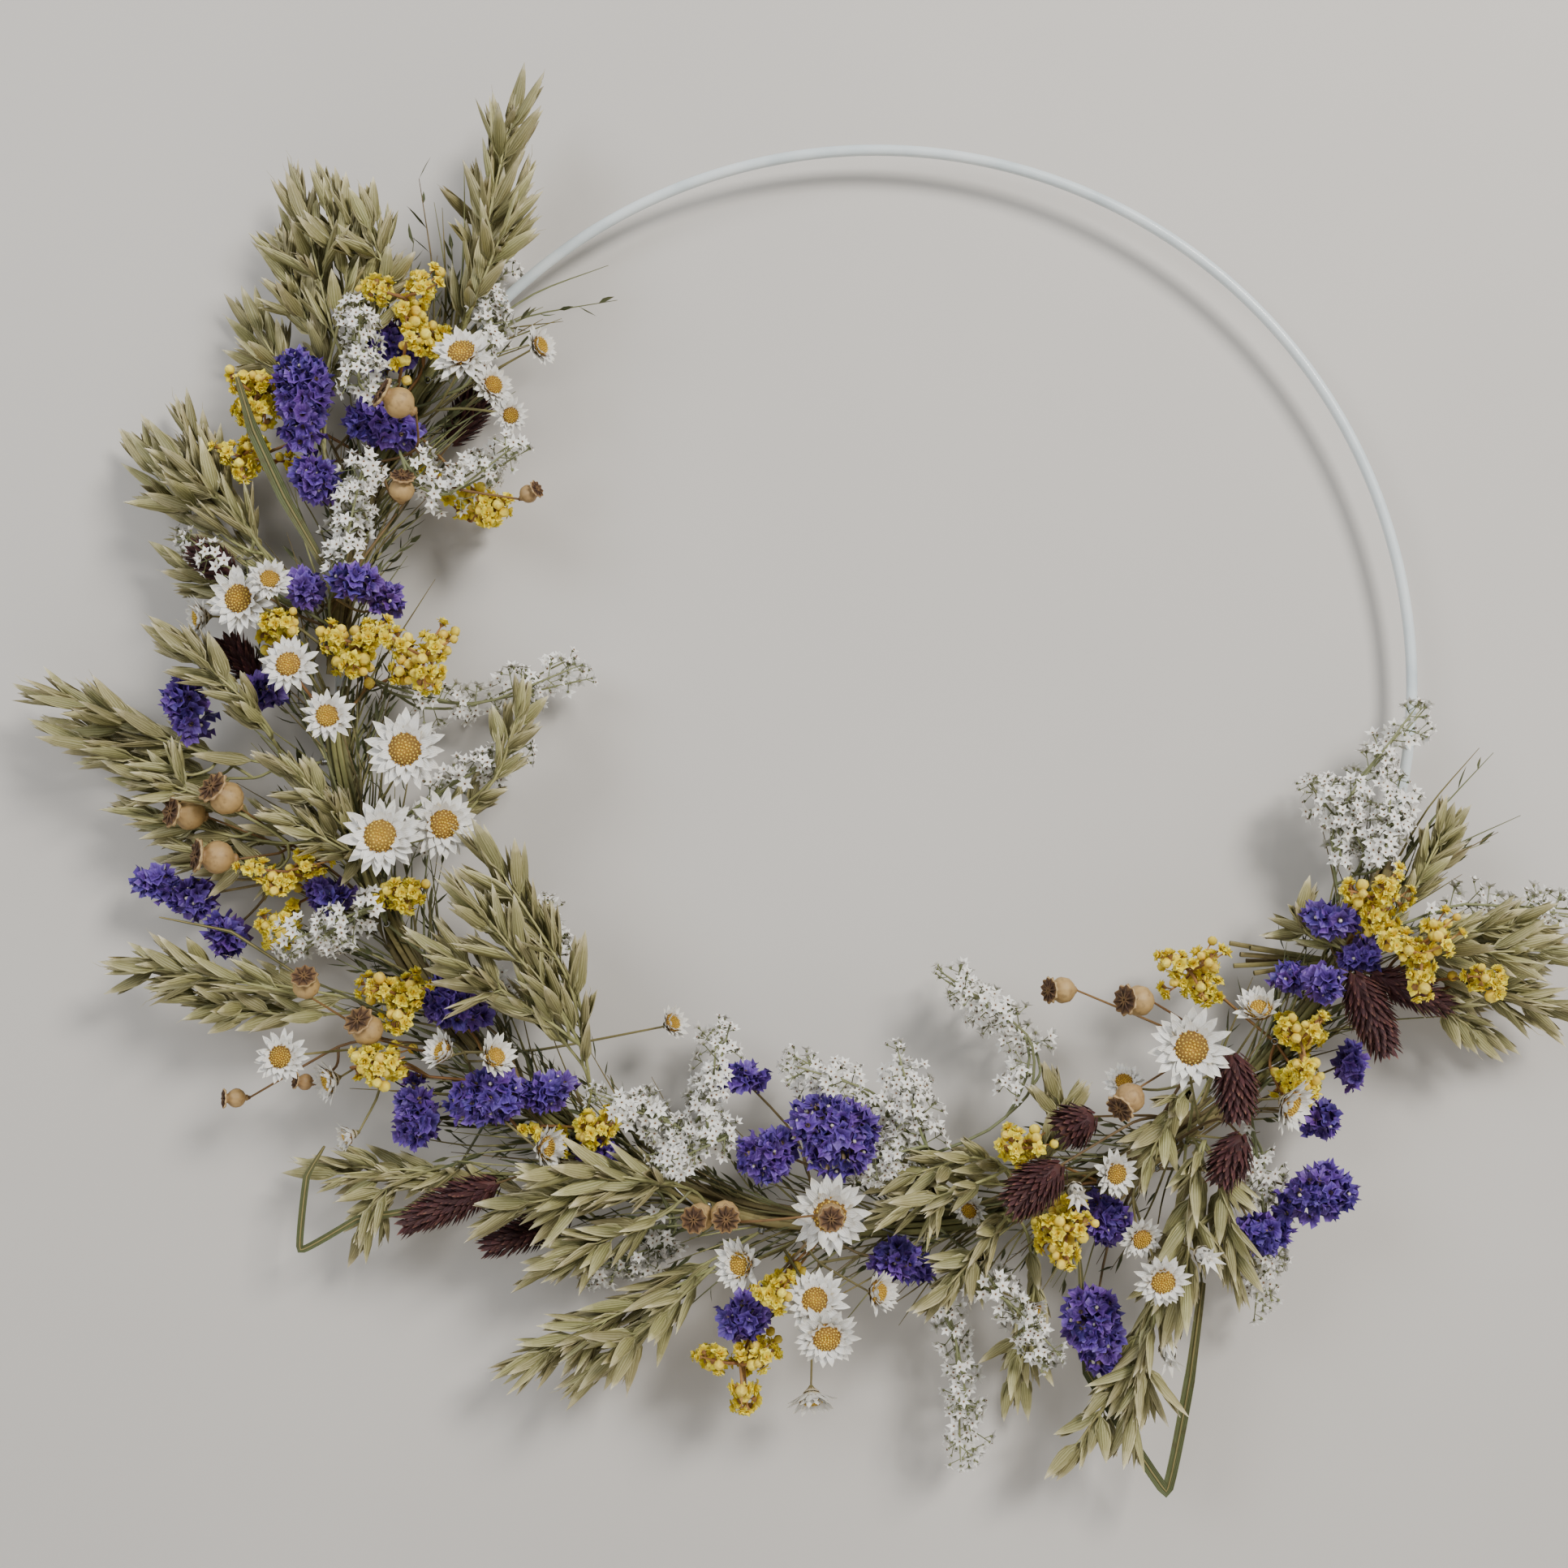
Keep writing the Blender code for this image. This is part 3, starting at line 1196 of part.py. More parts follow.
LOOKS = (
    ("hoop", (0.72, 0.76, 0.77), 0.35, 0.0),
    ("bound", (0.2, 0.2, 0.1), 0.7, 0.0),
    ("binding", (0.6, 0.6, 0.6), 0.3, 1.0),
    ("oats", (0.32, 0.34, 0.18), 0.7, 0.0),
    ("daisies", (0.85, 0.85, 0.83), 0.6, 0.0),
    ("pods", (0.5, 0.38, 0.19), 0.6, 0.0),
    ("canary", (0.06, 0.02, 0.02), 0.8, 0.0),
    ("statice", (0.05, 0.03, 0.25), 0.7, 0.0),
    ("yellow", (0.75, 0.5, 0.05), 0.6, 0.0),
    ("star", (0.62, 0.63, 0.58), 0.7, 0.0),
    ("leaf", (0.1, 0.13, 0.06), 0.6, 0.0),
    ("leaves", (0.1, 0.13, 0.06), 0.6, 0.0),
)


def material_for(name):
    for start, colour, rough, metal in LOOKS:
        if name.startswith(start):
            material = bpy.data.materials.new(name)
            material.use_nodes = True
            shader = material.node_tree.nodes["Principled BSDF"]
            shader.inputs["Base Color"].default_value = (*colour, 1)
            shader.inputs["Roughness"].default_value = rough
            shader.inputs["Metallic"].default_value = metal
            return material


def main():
    for obj in list(bpy.data.objects):
        bpy.data.objects.remove(obj)
    home = bpy.data.collections.new(NAME)
    bpy.context.scene.collection.children.link(home)
    nodes, missed = lay_out()
    made, scraps = [], {}
    for name, pieces in nodes.items():
        obj, dropped = fused(name, pieces, home)
        made.append(obj)
        if dropped:
            scraps[name] = dropped
    for obj in made:
        obj.data.materials.append(material_for(obj.name))
        obj.data.shade_smooth()
        obj.data.set_sharp_from_angle(angle=math.radians(40))
    print(len(made), "nodes; no room for", missed, "; scraps", scraps)


main()
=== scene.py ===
"""The fine model of the dried flower wreath, over its plain solids.

The layout below repeats the solids' own, in millimetres, so that each fine piece stands where its solid does.
Meshes, lamps, camera, wall and floor are in metres. X is to the viewer's right, -Y towards the viewer, Z up.
"""

import functools
import math
import random

import bpy
import numpy as np
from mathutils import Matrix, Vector

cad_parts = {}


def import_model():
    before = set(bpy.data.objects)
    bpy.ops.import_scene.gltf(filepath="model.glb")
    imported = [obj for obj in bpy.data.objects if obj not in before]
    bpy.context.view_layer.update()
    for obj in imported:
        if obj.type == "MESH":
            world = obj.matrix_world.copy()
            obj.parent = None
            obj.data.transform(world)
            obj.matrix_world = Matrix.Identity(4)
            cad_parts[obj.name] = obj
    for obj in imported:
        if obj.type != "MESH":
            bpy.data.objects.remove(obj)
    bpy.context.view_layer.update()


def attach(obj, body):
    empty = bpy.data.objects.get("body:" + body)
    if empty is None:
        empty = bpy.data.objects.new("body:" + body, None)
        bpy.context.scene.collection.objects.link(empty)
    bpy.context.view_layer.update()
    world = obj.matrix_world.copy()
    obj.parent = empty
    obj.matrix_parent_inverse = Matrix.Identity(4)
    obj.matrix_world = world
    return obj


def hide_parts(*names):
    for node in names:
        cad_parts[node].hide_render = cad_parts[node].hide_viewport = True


# Millimetres to metres
METRES = 0.001

# The wall behind the wreath and the floor below it, in metres
WALL = 0.014
FLOOR = -0.9

# How far the finer repeats may press into their neighbours' room, in millimetres
EASE = 1.3

# The turn between florets that spaces them evenly over a dome, in radians
GOLDEN_TURN = 2.39996

# Driving sizes, in millimetres
HOOP_OUTER = 400.0
HOOP_TUBE = 4.0
HOOP_RADIUS = (HOOP_OUTER - HOOP_TUBE) / 2
HOOP_Z = -(HOOP_RADIUS - HOOP_TUBE / 2)
STEMS_RADIUS = 4.6
GAP = 0.3
SEAT = 0.35
KNOT_SEAT = 0.12
STEMS_LIFT = HOOP_TUBE / 2 + SEAT + STEMS_RADIUS
KNOT = 1.3
STALK = 0.55
NECK = 1.1
WIRE = 0.45
WIRE_TURN = 7.7
WIRE_PITCH = 20.0
VIEW_DISTANCE = 650.0

# The picture's own measures, in its pixels
PICTURE_MIDDLE = (966.0, 966.0)
HOOP_IN_PICTURE = (1079.5, 845.0)
HOOP_RADIUS_IN_PICTURE = 660.0
PICTURE_MM = HOOP_RADIUS / HOOP_RADIUS_IN_PICTURE

# Each run of bound stems: name, first and last angle round the hoop, from its right hand side
RUNS = (
    ("bound_stems_top_left", 138.0, 179.0),
    ("bound_stems_left", 180.2, 223.0),
    ("bound_stems_lower_left", 224.2, 266.0),
    ("bound_stems_bottom", 267.2, 309.0),
    ("bound_stems_right", 310.2, 341.0),
)
CUT_ENDS = (
    (1515, 1162, 4), (1528, 1176, 9), (1520, 1190, 6), (1540, 1168, 12), (1545, 1199, 10), (1535, 1184, 3),
)
CUT_ROOT = (1643, 1184)

# Oats: lift at the tip, lift at the base, spikelets, then the picture places from tip to base
OATS = {
    "oats_top": (146, [
        (20, 12, 7, [(645, 88), (612, 230), (572, 390)]),
        (26, 16, 4, [(652, 208), (604, 330), (560, 430)]),
    ]),
    "oats_top_left": (160, [
        (14, 14, 4, [(365, 208), (385, 330), (432, 470)]),
        (20, 18, 4, [(390, 213), (414, 300), (440, 400)]),
        (16, 18, 4, [(412, 218), (444, 300), (462, 400)]),
        (22, 20, 3, [(447, 235), (468, 310), (482, 400)]),
        (18, 16, 4, [(344, 280), (368, 390), (425, 490)]),
        (8, 10, 4, [(302, 365), (335, 440), (400, 540)]),
    ]),
    "oats_left_upper": (176, [
        (12, 12, 4, [(228, 492), (262, 600), (330, 690)]),
        (6, 10, 4, [(160, 535), (236, 622), (320, 715)]),
        (16, 14, 4, [(188, 530), (262, 610), (345, 690)]),
        (8, 10, 3, [(200, 682), (270, 720), (350, 760)]),
    ]),
    "oats_left": (188, [
        (14, 14, 4, [(25, 850), (150, 888), (290, 950)]),
        (8, 12, 4, [(60, 886), (160, 922), (300, 985)]),
        (32, 26, 4, [(192, 765), (276, 830), (345, 915)]),
    ]),
    "oats_left_low": (198, [
        (12, 14, 4, [(128, 940), (210, 972), (330, 1012)]),
        (20, 18, 4, [(148, 985), (230, 1022), (350, 1040)]),
        (8, 12, 3, [(205, 1046), (290, 1062), (390, 1080)]),
        (34, 26, 4, [(318, 930), (390, 975), (450, 1040)]),
        (30, 24, 4, [(330, 1000), (400, 1035), (470, 1075)]),
        (22, 16, 3, [(652, 842), (628, 920), (588, 1000)]),
    ]),
    "oats_lower_left": (216, [
        (10, 14, 4, [(140, 1196), (250, 1192), (370, 1225)]),
        (16, 18, 4, [(205, 1222), (300, 1238), (390, 1262)]),
    ]),
    "oats_sheaf": (236, [
        (48, 34, 7, [(585, 1015), (655, 1140), (745, 1275)]),
        (46, 34, 4, [(500, 1150), (600, 1205), (720, 1290)]),
        (54, 36, 4, [(548, 1085), (630, 1170), (730, 1285)]),
    ]),
    "oats_bottom": (252, [
        (12, 14, 4, [(362, 1445), (460, 1447), (580, 1438)]),
        (10, 12, 2, [(448, 1545), (468, 1470), (530, 1440)]),
        (34, 28, 4, [(592, 1506), (700, 1462), (860, 1448)]),
        (40, 30, 4, [(640, 1440), (740, 1452), (870, 1462)]),
        (28, 26, 4, [(650, 1572), (730, 1530), (850, 1488)]),
    ]),
    "oats_fan": (258, [
        (12, 14, 4, [(620, 1692), (720, 1636), (870, 1560)]),
        (18, 16, 4, [(695, 1710), (770, 1650), (880, 1570)]),
    ]),
    "oats_middle": (284, [
        (34, 30, 4, [(1062, 1512), (1150, 1478), (1240, 1442)]),
        (30, 28, 4, [(1088, 1466), (1160, 1432), (1240, 1420)]),
        (34, 28, 4, [(1142, 1622), (1200, 1550), (1262, 1470)]),
        (22, 24, 4, [(1300, 1318), (1306, 1370), (1300, 1420)]),
        (14, 16, 2, [(1250, 1732), (1262, 1650), (1290, 1560)]),
    ]),
    "oats_hanging": (306, [
        (34, 38, 4, [(1402, 1462), (1428, 1390), (1478, 1310)]),
        (30, 38, 4, [(1448, 1640), (1462, 1500), (1492, 1340)]),
        (28, 36, 4, [(1530, 1606), (1508, 1500), (1500, 1390)]),
        (18, 22, 4, [(1382, 1790), (1404, 1690), (1440, 1570)]),
        (14, 20, 1, [(1310, 1815), (1352, 1748), (1400, 1660)]),
    ]),
    "oats_right": (330, [
        (16, 16, 2, [(1790, 996), (1764, 1066), (1712, 1140)]),
        (22, 20, 4, [(1948, 1186), (1840, 1170), (1716, 1176)]),
        (12, 16, 4, [(1925, 1140), (1830, 1142), (1712, 1166)]),
        (16, 18, 3, [(1952, 1258), (1846, 1226), (1716, 1186)]),
        (14, 15, 4, [(1852, 1292), (1780, 1240), (1704, 1196)]),
        (16, 15, 2, [(1610, 1087), (1602, 1140), (1636, 1172)]),
    ]),
}

# Daisies: picture place, lift, width, the way the face leans (right, up) and how far the bracts close, in
# degrees
DAISIES = {
    "daisies_top": (152, [
        (570, 438, 36, 25, (-0.1, 0.5), 14), (662, 428, 24, 17, (1.5, 0.3), 30),
        (628, 511, 32, 14, (0.5, -0.4), 10), (605, 476, 22, 18, (0.8, 0.2), 20),
    ]),
    "daisies_left_upper": (178, [
        (297, 738, 36, 26, (-0.2, 0.0), 12), (332, 715, 44, 17, (0.3, 0.2), 22),
        (250, 760, 22, 20, (-1.5, -0.2), 30),
        (357, 820, 38, 22, (0.0, 0.2), 10), (404, 882, 36, 20, (0.1, 0.0), 10),
    ]),
    "daisies_left": (196, [
        (500, 923, 42, 29, (0.0, 0.0), 8), (470, 1030, 46, 29, (0.0, 0.1), 8),
        (545, 1015, 36, 27, (0.5, 0.0), 12),
    ]),
    "daisies_low_left": (220, [
        (347, 1302, 34, 20, (0.0, 0.1), 10), (410, 1330, 26, 20, (-1.2, -0.3), 35),
        (433, 1398, 18, 15, (-1.2, -0.3), 55),
        (550, 1297, 36, 20, (-1.0, 0.6), 50), (607, 1304, 42, 20, (0.9, 0.6), 40),
        (668, 1414, 40, 21, (1.7, 0.0), 40),
        (825, 1262, 16, 17, (1.2, 0.6), 40),
    ]),
    "daisies_bottom": (262, [
        (1022, 1495, 44, 30, (0.0, -0.1), 10), (915, 1558, 38, 23, (-0.6, 0.2), 40),
        (1005, 1604, 38, 24, (-0.2, 0.6), 12), (1018, 1645, 44, 25, (0.1, -0.3), 12),
        (1078, 1592, 30, 20, (1.0, 0.2), 40),
        (1000, 1718, 18, 22, (0.1, -1.5), 35), (1270, 1612, 22, 15, (0.6, -0.7), 30),
    ]),
    "daisies_lower_right": (306, [
        (1467, 1290, 46, 30, (-0.1, 0.0), 12), (1552, 1248, 38, 23, (-0.4, 1.2), 50),
        (1585, 1358, 42, 24, (0.9, -0.4), 35),
        (1385, 1335, 22, 16, (-0.2, 0.6), 20),
    ]),
    "daisies_right_low": (298, [
        (1373, 1445, 36, 19, (0.3, 0.0), 20), (1326, 1470, 36, 11, (0.0, -0.2), 80),
        (1405, 1524, 30, 18, (0.2, -0.3), 16),
        (1432, 1577, 46, 21, (0.0, -0.2), 10), (1485, 1548, 46, 11, (0.2, 0.0), 80),
        (1440, 1668, 24, 11, (0.0, -0.8), 80),
        (1196, 1490, 22, 14, (-0.5, -0.2), 16),
    ]),
}

# Poppy pods: picture place, lift, width, the way the crown points
PODS = {
    "pods_top": (
        158,
        [(490, 495, 42, 11, (-1.6, 0.9)), (495, 602, 26, 9, (0.3, 1.2)), (652, 608, 34, 6.5, (1.6, 0.7))],
    ),
    "pods_left": (
        202,
        [
            (232, 1003, 22, 11.5, (-0.9, 0.2)), (278, 982, 30, 12, (-0.6, 0.7)),
            (266, 1056, 26, 12, (-1.4, 0.2)),
        ],
    ),
    "pods_low_left": (222, [
        (377, 1214, 32, 9.5, (0.1, 0.9)), (452, 1268, 36, 11, (-0.4, 0.8)), (290, 1353, 18, 7, (-1.8, 0.1)),
        (375, 1333, 20, 6, (-1.4, 0.4)),
    ]),
    "pods_bottom": (
        254,
        [(862, 1500, 38, 10, (-0.3, 0.1)), (893, 1497, 42, 10, (0.1, 0.0)), (1024, 1499, 54, 9, (0.0, 0.1))],
    ),
    "pods_right": (
        312,
        [
            (1308, 1220, 26, 9.5, (-1.8, 0.1)), (1402, 1233, 34, 11, (-1.4, 0.2)),
            (1391, 1354, 48, 10.5, (-1.0, -0.7)),
        ],
    ),
}

# Canary grass heads: lift, width, base and tip in the picture
BRUSHES = {
    "canary_grass_left": (
        174,
        [
            (16, 15, (556, 545), (606, 462)), (20, 13, (290, 712), (234, 672)),
            (12, 13, (316, 838), (276, 782)),
        ],
    ),
    "canary_grass_lower_left": (
        238, [(26, 15, (612, 1458), (488, 1512)), (14, 13, (700, 1500), (590, 1540))],
    ),
    "canary_grass_lower_right": (303, [
        (44, 18, (1346, 1376), (1304, 1396)), (46, 20, (1306, 1436), (1240, 1492)),
        (44, 17, (1520, 1300), (1526, 1385)), (44, 16, (1530, 1400), (1500, 1462)),
    ]),
    "canary_grass_right": (326, [(34, 18, (1668, 1200), (1712, 1304)), (26, 13, (1690, 1200), (1792, 1244))]),
}

# Statice clusters: picture place, lift, width, height, flowers
STATICE = {
    "statice_top_left": (160, [
        (372, 488, 26, 22, 32, 7), (482, 430, 26, 18, 16, 4), (470, 520, 24, 26, 18, 5),
        (388, 590, 20, 14, 16, 4),
    ]),
    "statice_left_upper": (176, [
        (375, 725, 24, 12, 12, 3), (438, 716, 28, 17, 12, 4), (474, 738, 24, 14, 10, 3),
        (230, 868, 16, 16, 22, 4),
        (322, 850, 18, 12, 12, 3),
    ]),
    "statice_left": (206, [
        (190, 1086, 10, 13, 10, 3), (232, 1106, 14, 18, 14, 4), (278, 1152, 14, 13, 15, 4),
        (404, 1104, 16, 14, 12, 3),
    ]),
    "statice_low_left": (230, [
        (560, 1236, 22, 22, 20, 4), (512, 1372, 22, 15, 22, 4), (600, 1352, 32, 24, 20, 5),
        (672, 1346, 30, 20, 12, 4),
        (738, 1424, 22, 12, 12, 3),
    ]),
    "statice_bottom": (264, [
        (912, 1328, 20, 20, 8, 3), (1030, 1398, 36, 34, 26, 7), (946, 1424, 32, 18, 20, 4),
        (918, 1622, 30, 18, 16, 4),
        (1110, 1556, 26, 22, 13, 4),
    ]),
    "statice_lower_right": (300, [
        (1360, 1502, 18, 16, 18, 4), (1350, 1636, 16, 20, 30, 5),
        (1664, 1312, 14, 9, 14, 3), (1628, 1380, 16, 12, 12, 3), (1626, 1472, 28, 28, 18, 5),
        (1550, 1520, 26, 24, 14, 4),
    ]),
    "statice_right": (326, [
        (1640, 1134, 32, 17, 11, 4), (1678, 1178, 26, 14, 10, 3), (1634, 1212, 26, 10, 13, 3),
        (1590, 1204, 20, 12, 8, 3),
    ]),
}

# Yellow twigs: picture place of the middle, lift, width, height, twigs, blooms on each
YELLOWS = {
    "yellow_blooms_top": (156, [
        (502, 362, 24, 34, 24, 3, 4), (522, 412, 28, 14, 10, 1, 4), (600, 630, 12, 14, 12, 1, 3),
        (318, 484, 12, 18, 26, 2, 4), (300, 560, 10, 20, 16, 1, 4),
    ]),
    "yellow_blooms_left": (
        182, [(440, 790, 28, 26, 22, 2, 4), (520, 806, 26, 32, 26, 2, 4), (342, 768, 20, 12, 10, 1, 3)],
    ),
    "yellow_blooms_left_low": (
        206, [(360, 1070, 18, 44, 14, 2, 4), (345, 1148, 14, 10, 8, 1, 2), (496, 1100, 26, 14, 8, 1, 3)],
    ),
    "yellow_blooms_low_left": (
        226, [(486, 1232, 22, 26, 22, 2, 4), (472, 1308, 26, 24, 12, 1, 4), (735, 1396, 32, 14, 24, 1, 4)],
    ),
    "yellow_blooms_bottom": (262, [(916, 1682, 24, 34, 32, 3, 4), (960, 1588, 28, 12, 10, 1, 3)]),
    "yellow_blooms_middle": (294, [(1270, 1410, 36, 20, 12, 1, 4), (1310, 1514, 34, 18, 22, 2, 3)]),
    "yellow_blooms_lower_right": (
        314,
        [(1474, 1196, 18, 30, 24, 2, 4), (1612, 1290, 28, 18, 36, 2, 4), (1612, 1345, 24, 14, 14, 1, 3)],
    ),
    "yellow_blooms_right": (
        328,
        [(1700, 1112, 34, 26, 26, 2, 4), (1756, 1172, 32, 34, 30, 2, 4), (1840, 1198, 24, 14, 10, 1, 2)],
    ),
}

# Star sprays: lift at the tip, lift at the base, stars, then the picture places from tip to base
STARS = {
    "star_sprays_top": (150, [
        (22, 20, 7, [(434, 385), (440, 440), (452, 500)]),
        (10, 10, 4, [(612, 345), (610, 385), (592, 440)]), (20, 18, 4, [(640, 560), (580, 590), (520, 622)]),
    ]),
    "star_sprays_left_upper": (174, [
        (16, 16, 4, [(452, 570), (440, 625), (420, 680)]),
        (8, 10, 4, [(232, 668), (275, 690), (320, 720)]), (14, 12, 4, [(704, 824), (620, 846), (545, 890)]),
    ]),
    "star_sprays_left": (204, [
        (14, 14, 4, [(642, 934), (590, 940), (548, 968)]),
        (24, 22, 4, [(366, 1170), (420, 1130), (480, 1120)]),
        (8, 10, 4, [(672, 1118), (668, 1170), (690, 1230)]),
    ]),
    "star_sprays_low_left": (240, [
        (20, 20, 7, [(884, 1268), (880, 1330), (862, 1390)]),
        (28, 24, 4, [(740, 1350), (800, 1372), (860, 1396)]),
        (30, 26, 4, [(812, 1420), (866, 1412), (920, 1390)]),
        (8, 12, 4, [(730, 1570), (790, 1540), (850, 1520)]),
    ]),
    "star_sprays_bottom": (276, [
        (26, 24, 4, [(985, 1305), (1040, 1330), (1100, 1370)]),
        (24, 24, 4, [(1110, 1310), (1130, 1360), (1140, 1420)]),
        (30, 26, 4, [(1060, 1440), (1110, 1420), (1160, 1410)]),
        (12, 14, 7, [(1165, 1208), (1220, 1262), (1310, 1300)]),
        (10, 12, 4, [(1198, 1785), (1184, 1700), (1176, 1620)]),
        (18, 18, 4, [(1290, 1668), (1260, 1620), (1220, 1580)]),
    ]),
    "star_sprays_lower_right": (316, [
        (12, 14, 4, [(1556, 1600), (1552, 1530), (1560, 1450)]),
    ]),
    "star_sprays_right": (334, [
        (12, 14, 4, [(1746, 880), (1660, 945), (1640, 1040)]),
        (20, 18, 4, [(1630, 970), (1668, 1010), (1690, 1080)]),
        (18, 19, 4, [(1722, 975), (1712, 1020), (1702, 1090)]),
        (11, 14, 3, [(1945, 1128), (1850, 1108), (1760, 1120)]),
    ]),
}

# Leaves: lift at the tip, lift at the base, width, then the picture places from tip to base
LEAVES = {
    "leaf_top_left": (164, [(34, 18, 4.6, [(292, 464), (312, 530), (350, 612), (398, 695)])]),
    "leaves_lower_left": (226, [
        (16, 16, 2.6, [(400, 1412), (378, 1450), (370, 1540), (440, 1502), (500, 1492), (566, 1440)]),
        (20, 22, 1.4, [(196, 1130), (285, 1148), (372, 1204)]),
    ]),
    "leaf_lower_right": (302, [
        (16, 20, 4.0, [(1330, 1552), (1340, 1690), (1437, 1838), (1466, 1700), (1482, 1580)]),
    ]),
}

# Owners of room, beside the numbered nodes
HOOP_OWNER, FIRST_RUN, WIRE_OWNER, LOOSE_OWNER = -1, -2, -20, -60

# Shifts of a head's lift that are tried in turn, and the least and most lift of any piece
LIFT_TRIES = (0, 2.5, -2.5, 5, -5, 7.5, -7.5, 10, -10, 13, -13, 16, 20)
LOWEST_LIFT = -7.0
HIGHEST_LIFT = 62.0


# Where a knot is tried: degrees along the hoop, degrees round the stems, and the most turn from the front,
# in radians
TIE_SHIFTS = (0, 2, -2, 4, -4, 6, -6, 8, -8, 11, -11, 14, -14)
TIE_SWINGS = (0, 25, -25, 50, -50, 75, -75, 100, -100)
MOST_TIE_TURN = 1.9

# How a stem finds its way to a joint: how many joints are tried, how much the way on from a joint counts, the
# shortest stem, and the shares of its length by which its bend is moved aside
NEAREST_JOINTS = 6
WAY_ON = 0.45
SHORTEST_STEM = 3.0
BEND_REACHES = (0, 0.12, 0.22, 0.34, 0.48)

# How much of their radii the sprouts of one stem keep clear of each other
SIBLINGS_CLEAR = 0.62

# A spikelet's least and most length, in millimetres, and its share of its stem's length
SPIKELET_LENGTHS = (18.0, 25.0)
SPIKELET_SHARE = 0.34

# A daisy that is closed by more degrees than this is a bud
BUD_FROM = 70


# Places and directions


def vec(*parts):
    return np.array(parts, float)


def unit(v):
    return v / max(float(np.linalg.norm(v)), 1e-9)


def place(x, y, lift):
    """The point that shows at a place in the picture, at a lift in front of the hoop."""
    share = (VIEW_DISTANCE - lift) / VIEW_DISTANCE * PICTURE_MM
    middle_x = (PICTURE_MIDDLE[0] - HOOP_IN_PICTURE[0]) * PICTURE_MM
    middle_z = (HOOP_IN_PICTURE[1] - PICTURE_MIDDLE[1]) * PICTURE_MM + HOOP_Z
    return vec(middle_x + (x - PICTURE_MIDDLE[0]) * share, -lift, middle_z + (PICTURE_MIDDLE[1] - y) * share)


def round_hoop(angle, radius=HOOP_RADIUS, lift=0.0):
    turn = math.radians(angle)
    return vec(radius * math.cos(turn), -lift, HOOP_Z + radius * math.sin(turn))


def square_to(axis):
    """Two directions square to the axis and to each other."""
    side = cross(axis, vec(0, 1, 0))
    if np.linalg.norm(side) < 0.2:
        side = cross(axis, vec(1, 0, 0))
    side = unit(side)
    return side, cross(axis, side)


def spread(start, end, count):
    return [start + (end - start) * i / max(count - 1, 1) for i in range(count)]


def whorled(count, first, last):
    """The share of a stem's length and the side, left, right or front, of each sprout in whorls of three."""
    whorls = max(math.ceil(count / 3), 1)
    shares = spread(first, last, whorls) if whorls > 1 else [(first + last) / 2]
    return [(shares[i // 3], (vec(1, 0, 0), vec(-1, 0, 0), vec(0, 0, 1))[i % 3]) for i in range(count)]


def sided(way, side, out, front):
    """A direction off a stem that runs one way: to its left, its right or the front."""
    across = unit(cross(way, vec(0, 1, 0)))
    return across * side[0] * out + vec(0, -1, 0) * (front + side[2] * out)


def along(points, share):
    """The point at a share of a path's length, and the path's direction there."""
    steps = [float(np.linalg.norm(b - a)) for a, b in zip(points, points[1:])]
    left = share * sum(steps)
    for a, b, step in zip(points, points[1:], steps):
        if left <= step or b is points[-1]:
            return a + (b - a) * min(left / step, 1.0), unit(b - a)
        left -= step


# The layout's pieces. Each one's hull is the room that it takes, as capsules: two ends and a radius


class Daisy:
    """A daisy: a ring of pointed bracts round a domed middle."""

    petals = 7

    def __init__(self, centre, axis, radius, close, roll):
        self.centre, self.axis, self.radius, self.roll = centre, axis, radius, roll
        self.lean = math.radians(close)
        self.base = centre - axis * 3.0

    def rim(self, turn, share, rise):
        u, v = square_to(self.axis)
        out = u * math.cos(turn) + v * math.sin(turn)
        way = out * math.cos(self.lean) + self.axis * math.sin(self.lean)
        return self.centre + way * (self.radius * share) + self.axis * rise

    def edge(self):
        """Tips and the notches between them, in turn."""
        turns = [self.roll + math.tau * i / (self.petals * 2) for i in range(self.petals * 2)]
        return [self.rim(at, 0.62, -0.4) if i % 2 else self.rim(at, 1.0, 0.3) for i, at in enumerate(turns)]

    def hull(self):
        rays = [(self.centre, point, 1.6) for point in self.edge()]
        middle = (self.centre - self.axis * 0.6, self.centre + self.axis * 0.8, max(self.radius * 0.4, 3.2))
        return rays + [middle]


class Turned:
    """A bud, pod or brush, turned round its axis."""

    def __init__(self, kind, centre, axis, radius, roll, length=0.0):
        self.kind, self.centre, self.axis, self.radius, self.roll = kind, centre, axis, radius, roll
        reach = length or radius
        self.profile = [(along_it * reach, out * radius) for along_it, out in PROFILES[kind]]
        self.base = centre + axis * (self.profile[0][0] - 0.8)

    def hull(self):
        first, last = self.profile[0][0], self.profile[-1][0]
        inset = min(self.radius * 0.7, (last - first) / 2 - 0.1)
        ends = [self.centre + self.axis * at for at in (first + inset, last - inset)]
        return [(ends[0], ends[1], self.radius)]


PROFILES = {
    "bud": ((-0.7, 0.75), (0.35, 0.9), (1.15, 0)),
    "pod": ((-1.2, 0.35), (-0.3, 0.98), (0.8, 0.55), (1.1, 0.92), (1.2, 0)),
    "brush": ((0.04, 0.5), (0.3, 0.96), (0.56, 0.92), (0.8, 0.6), (1.0, 0)),
}


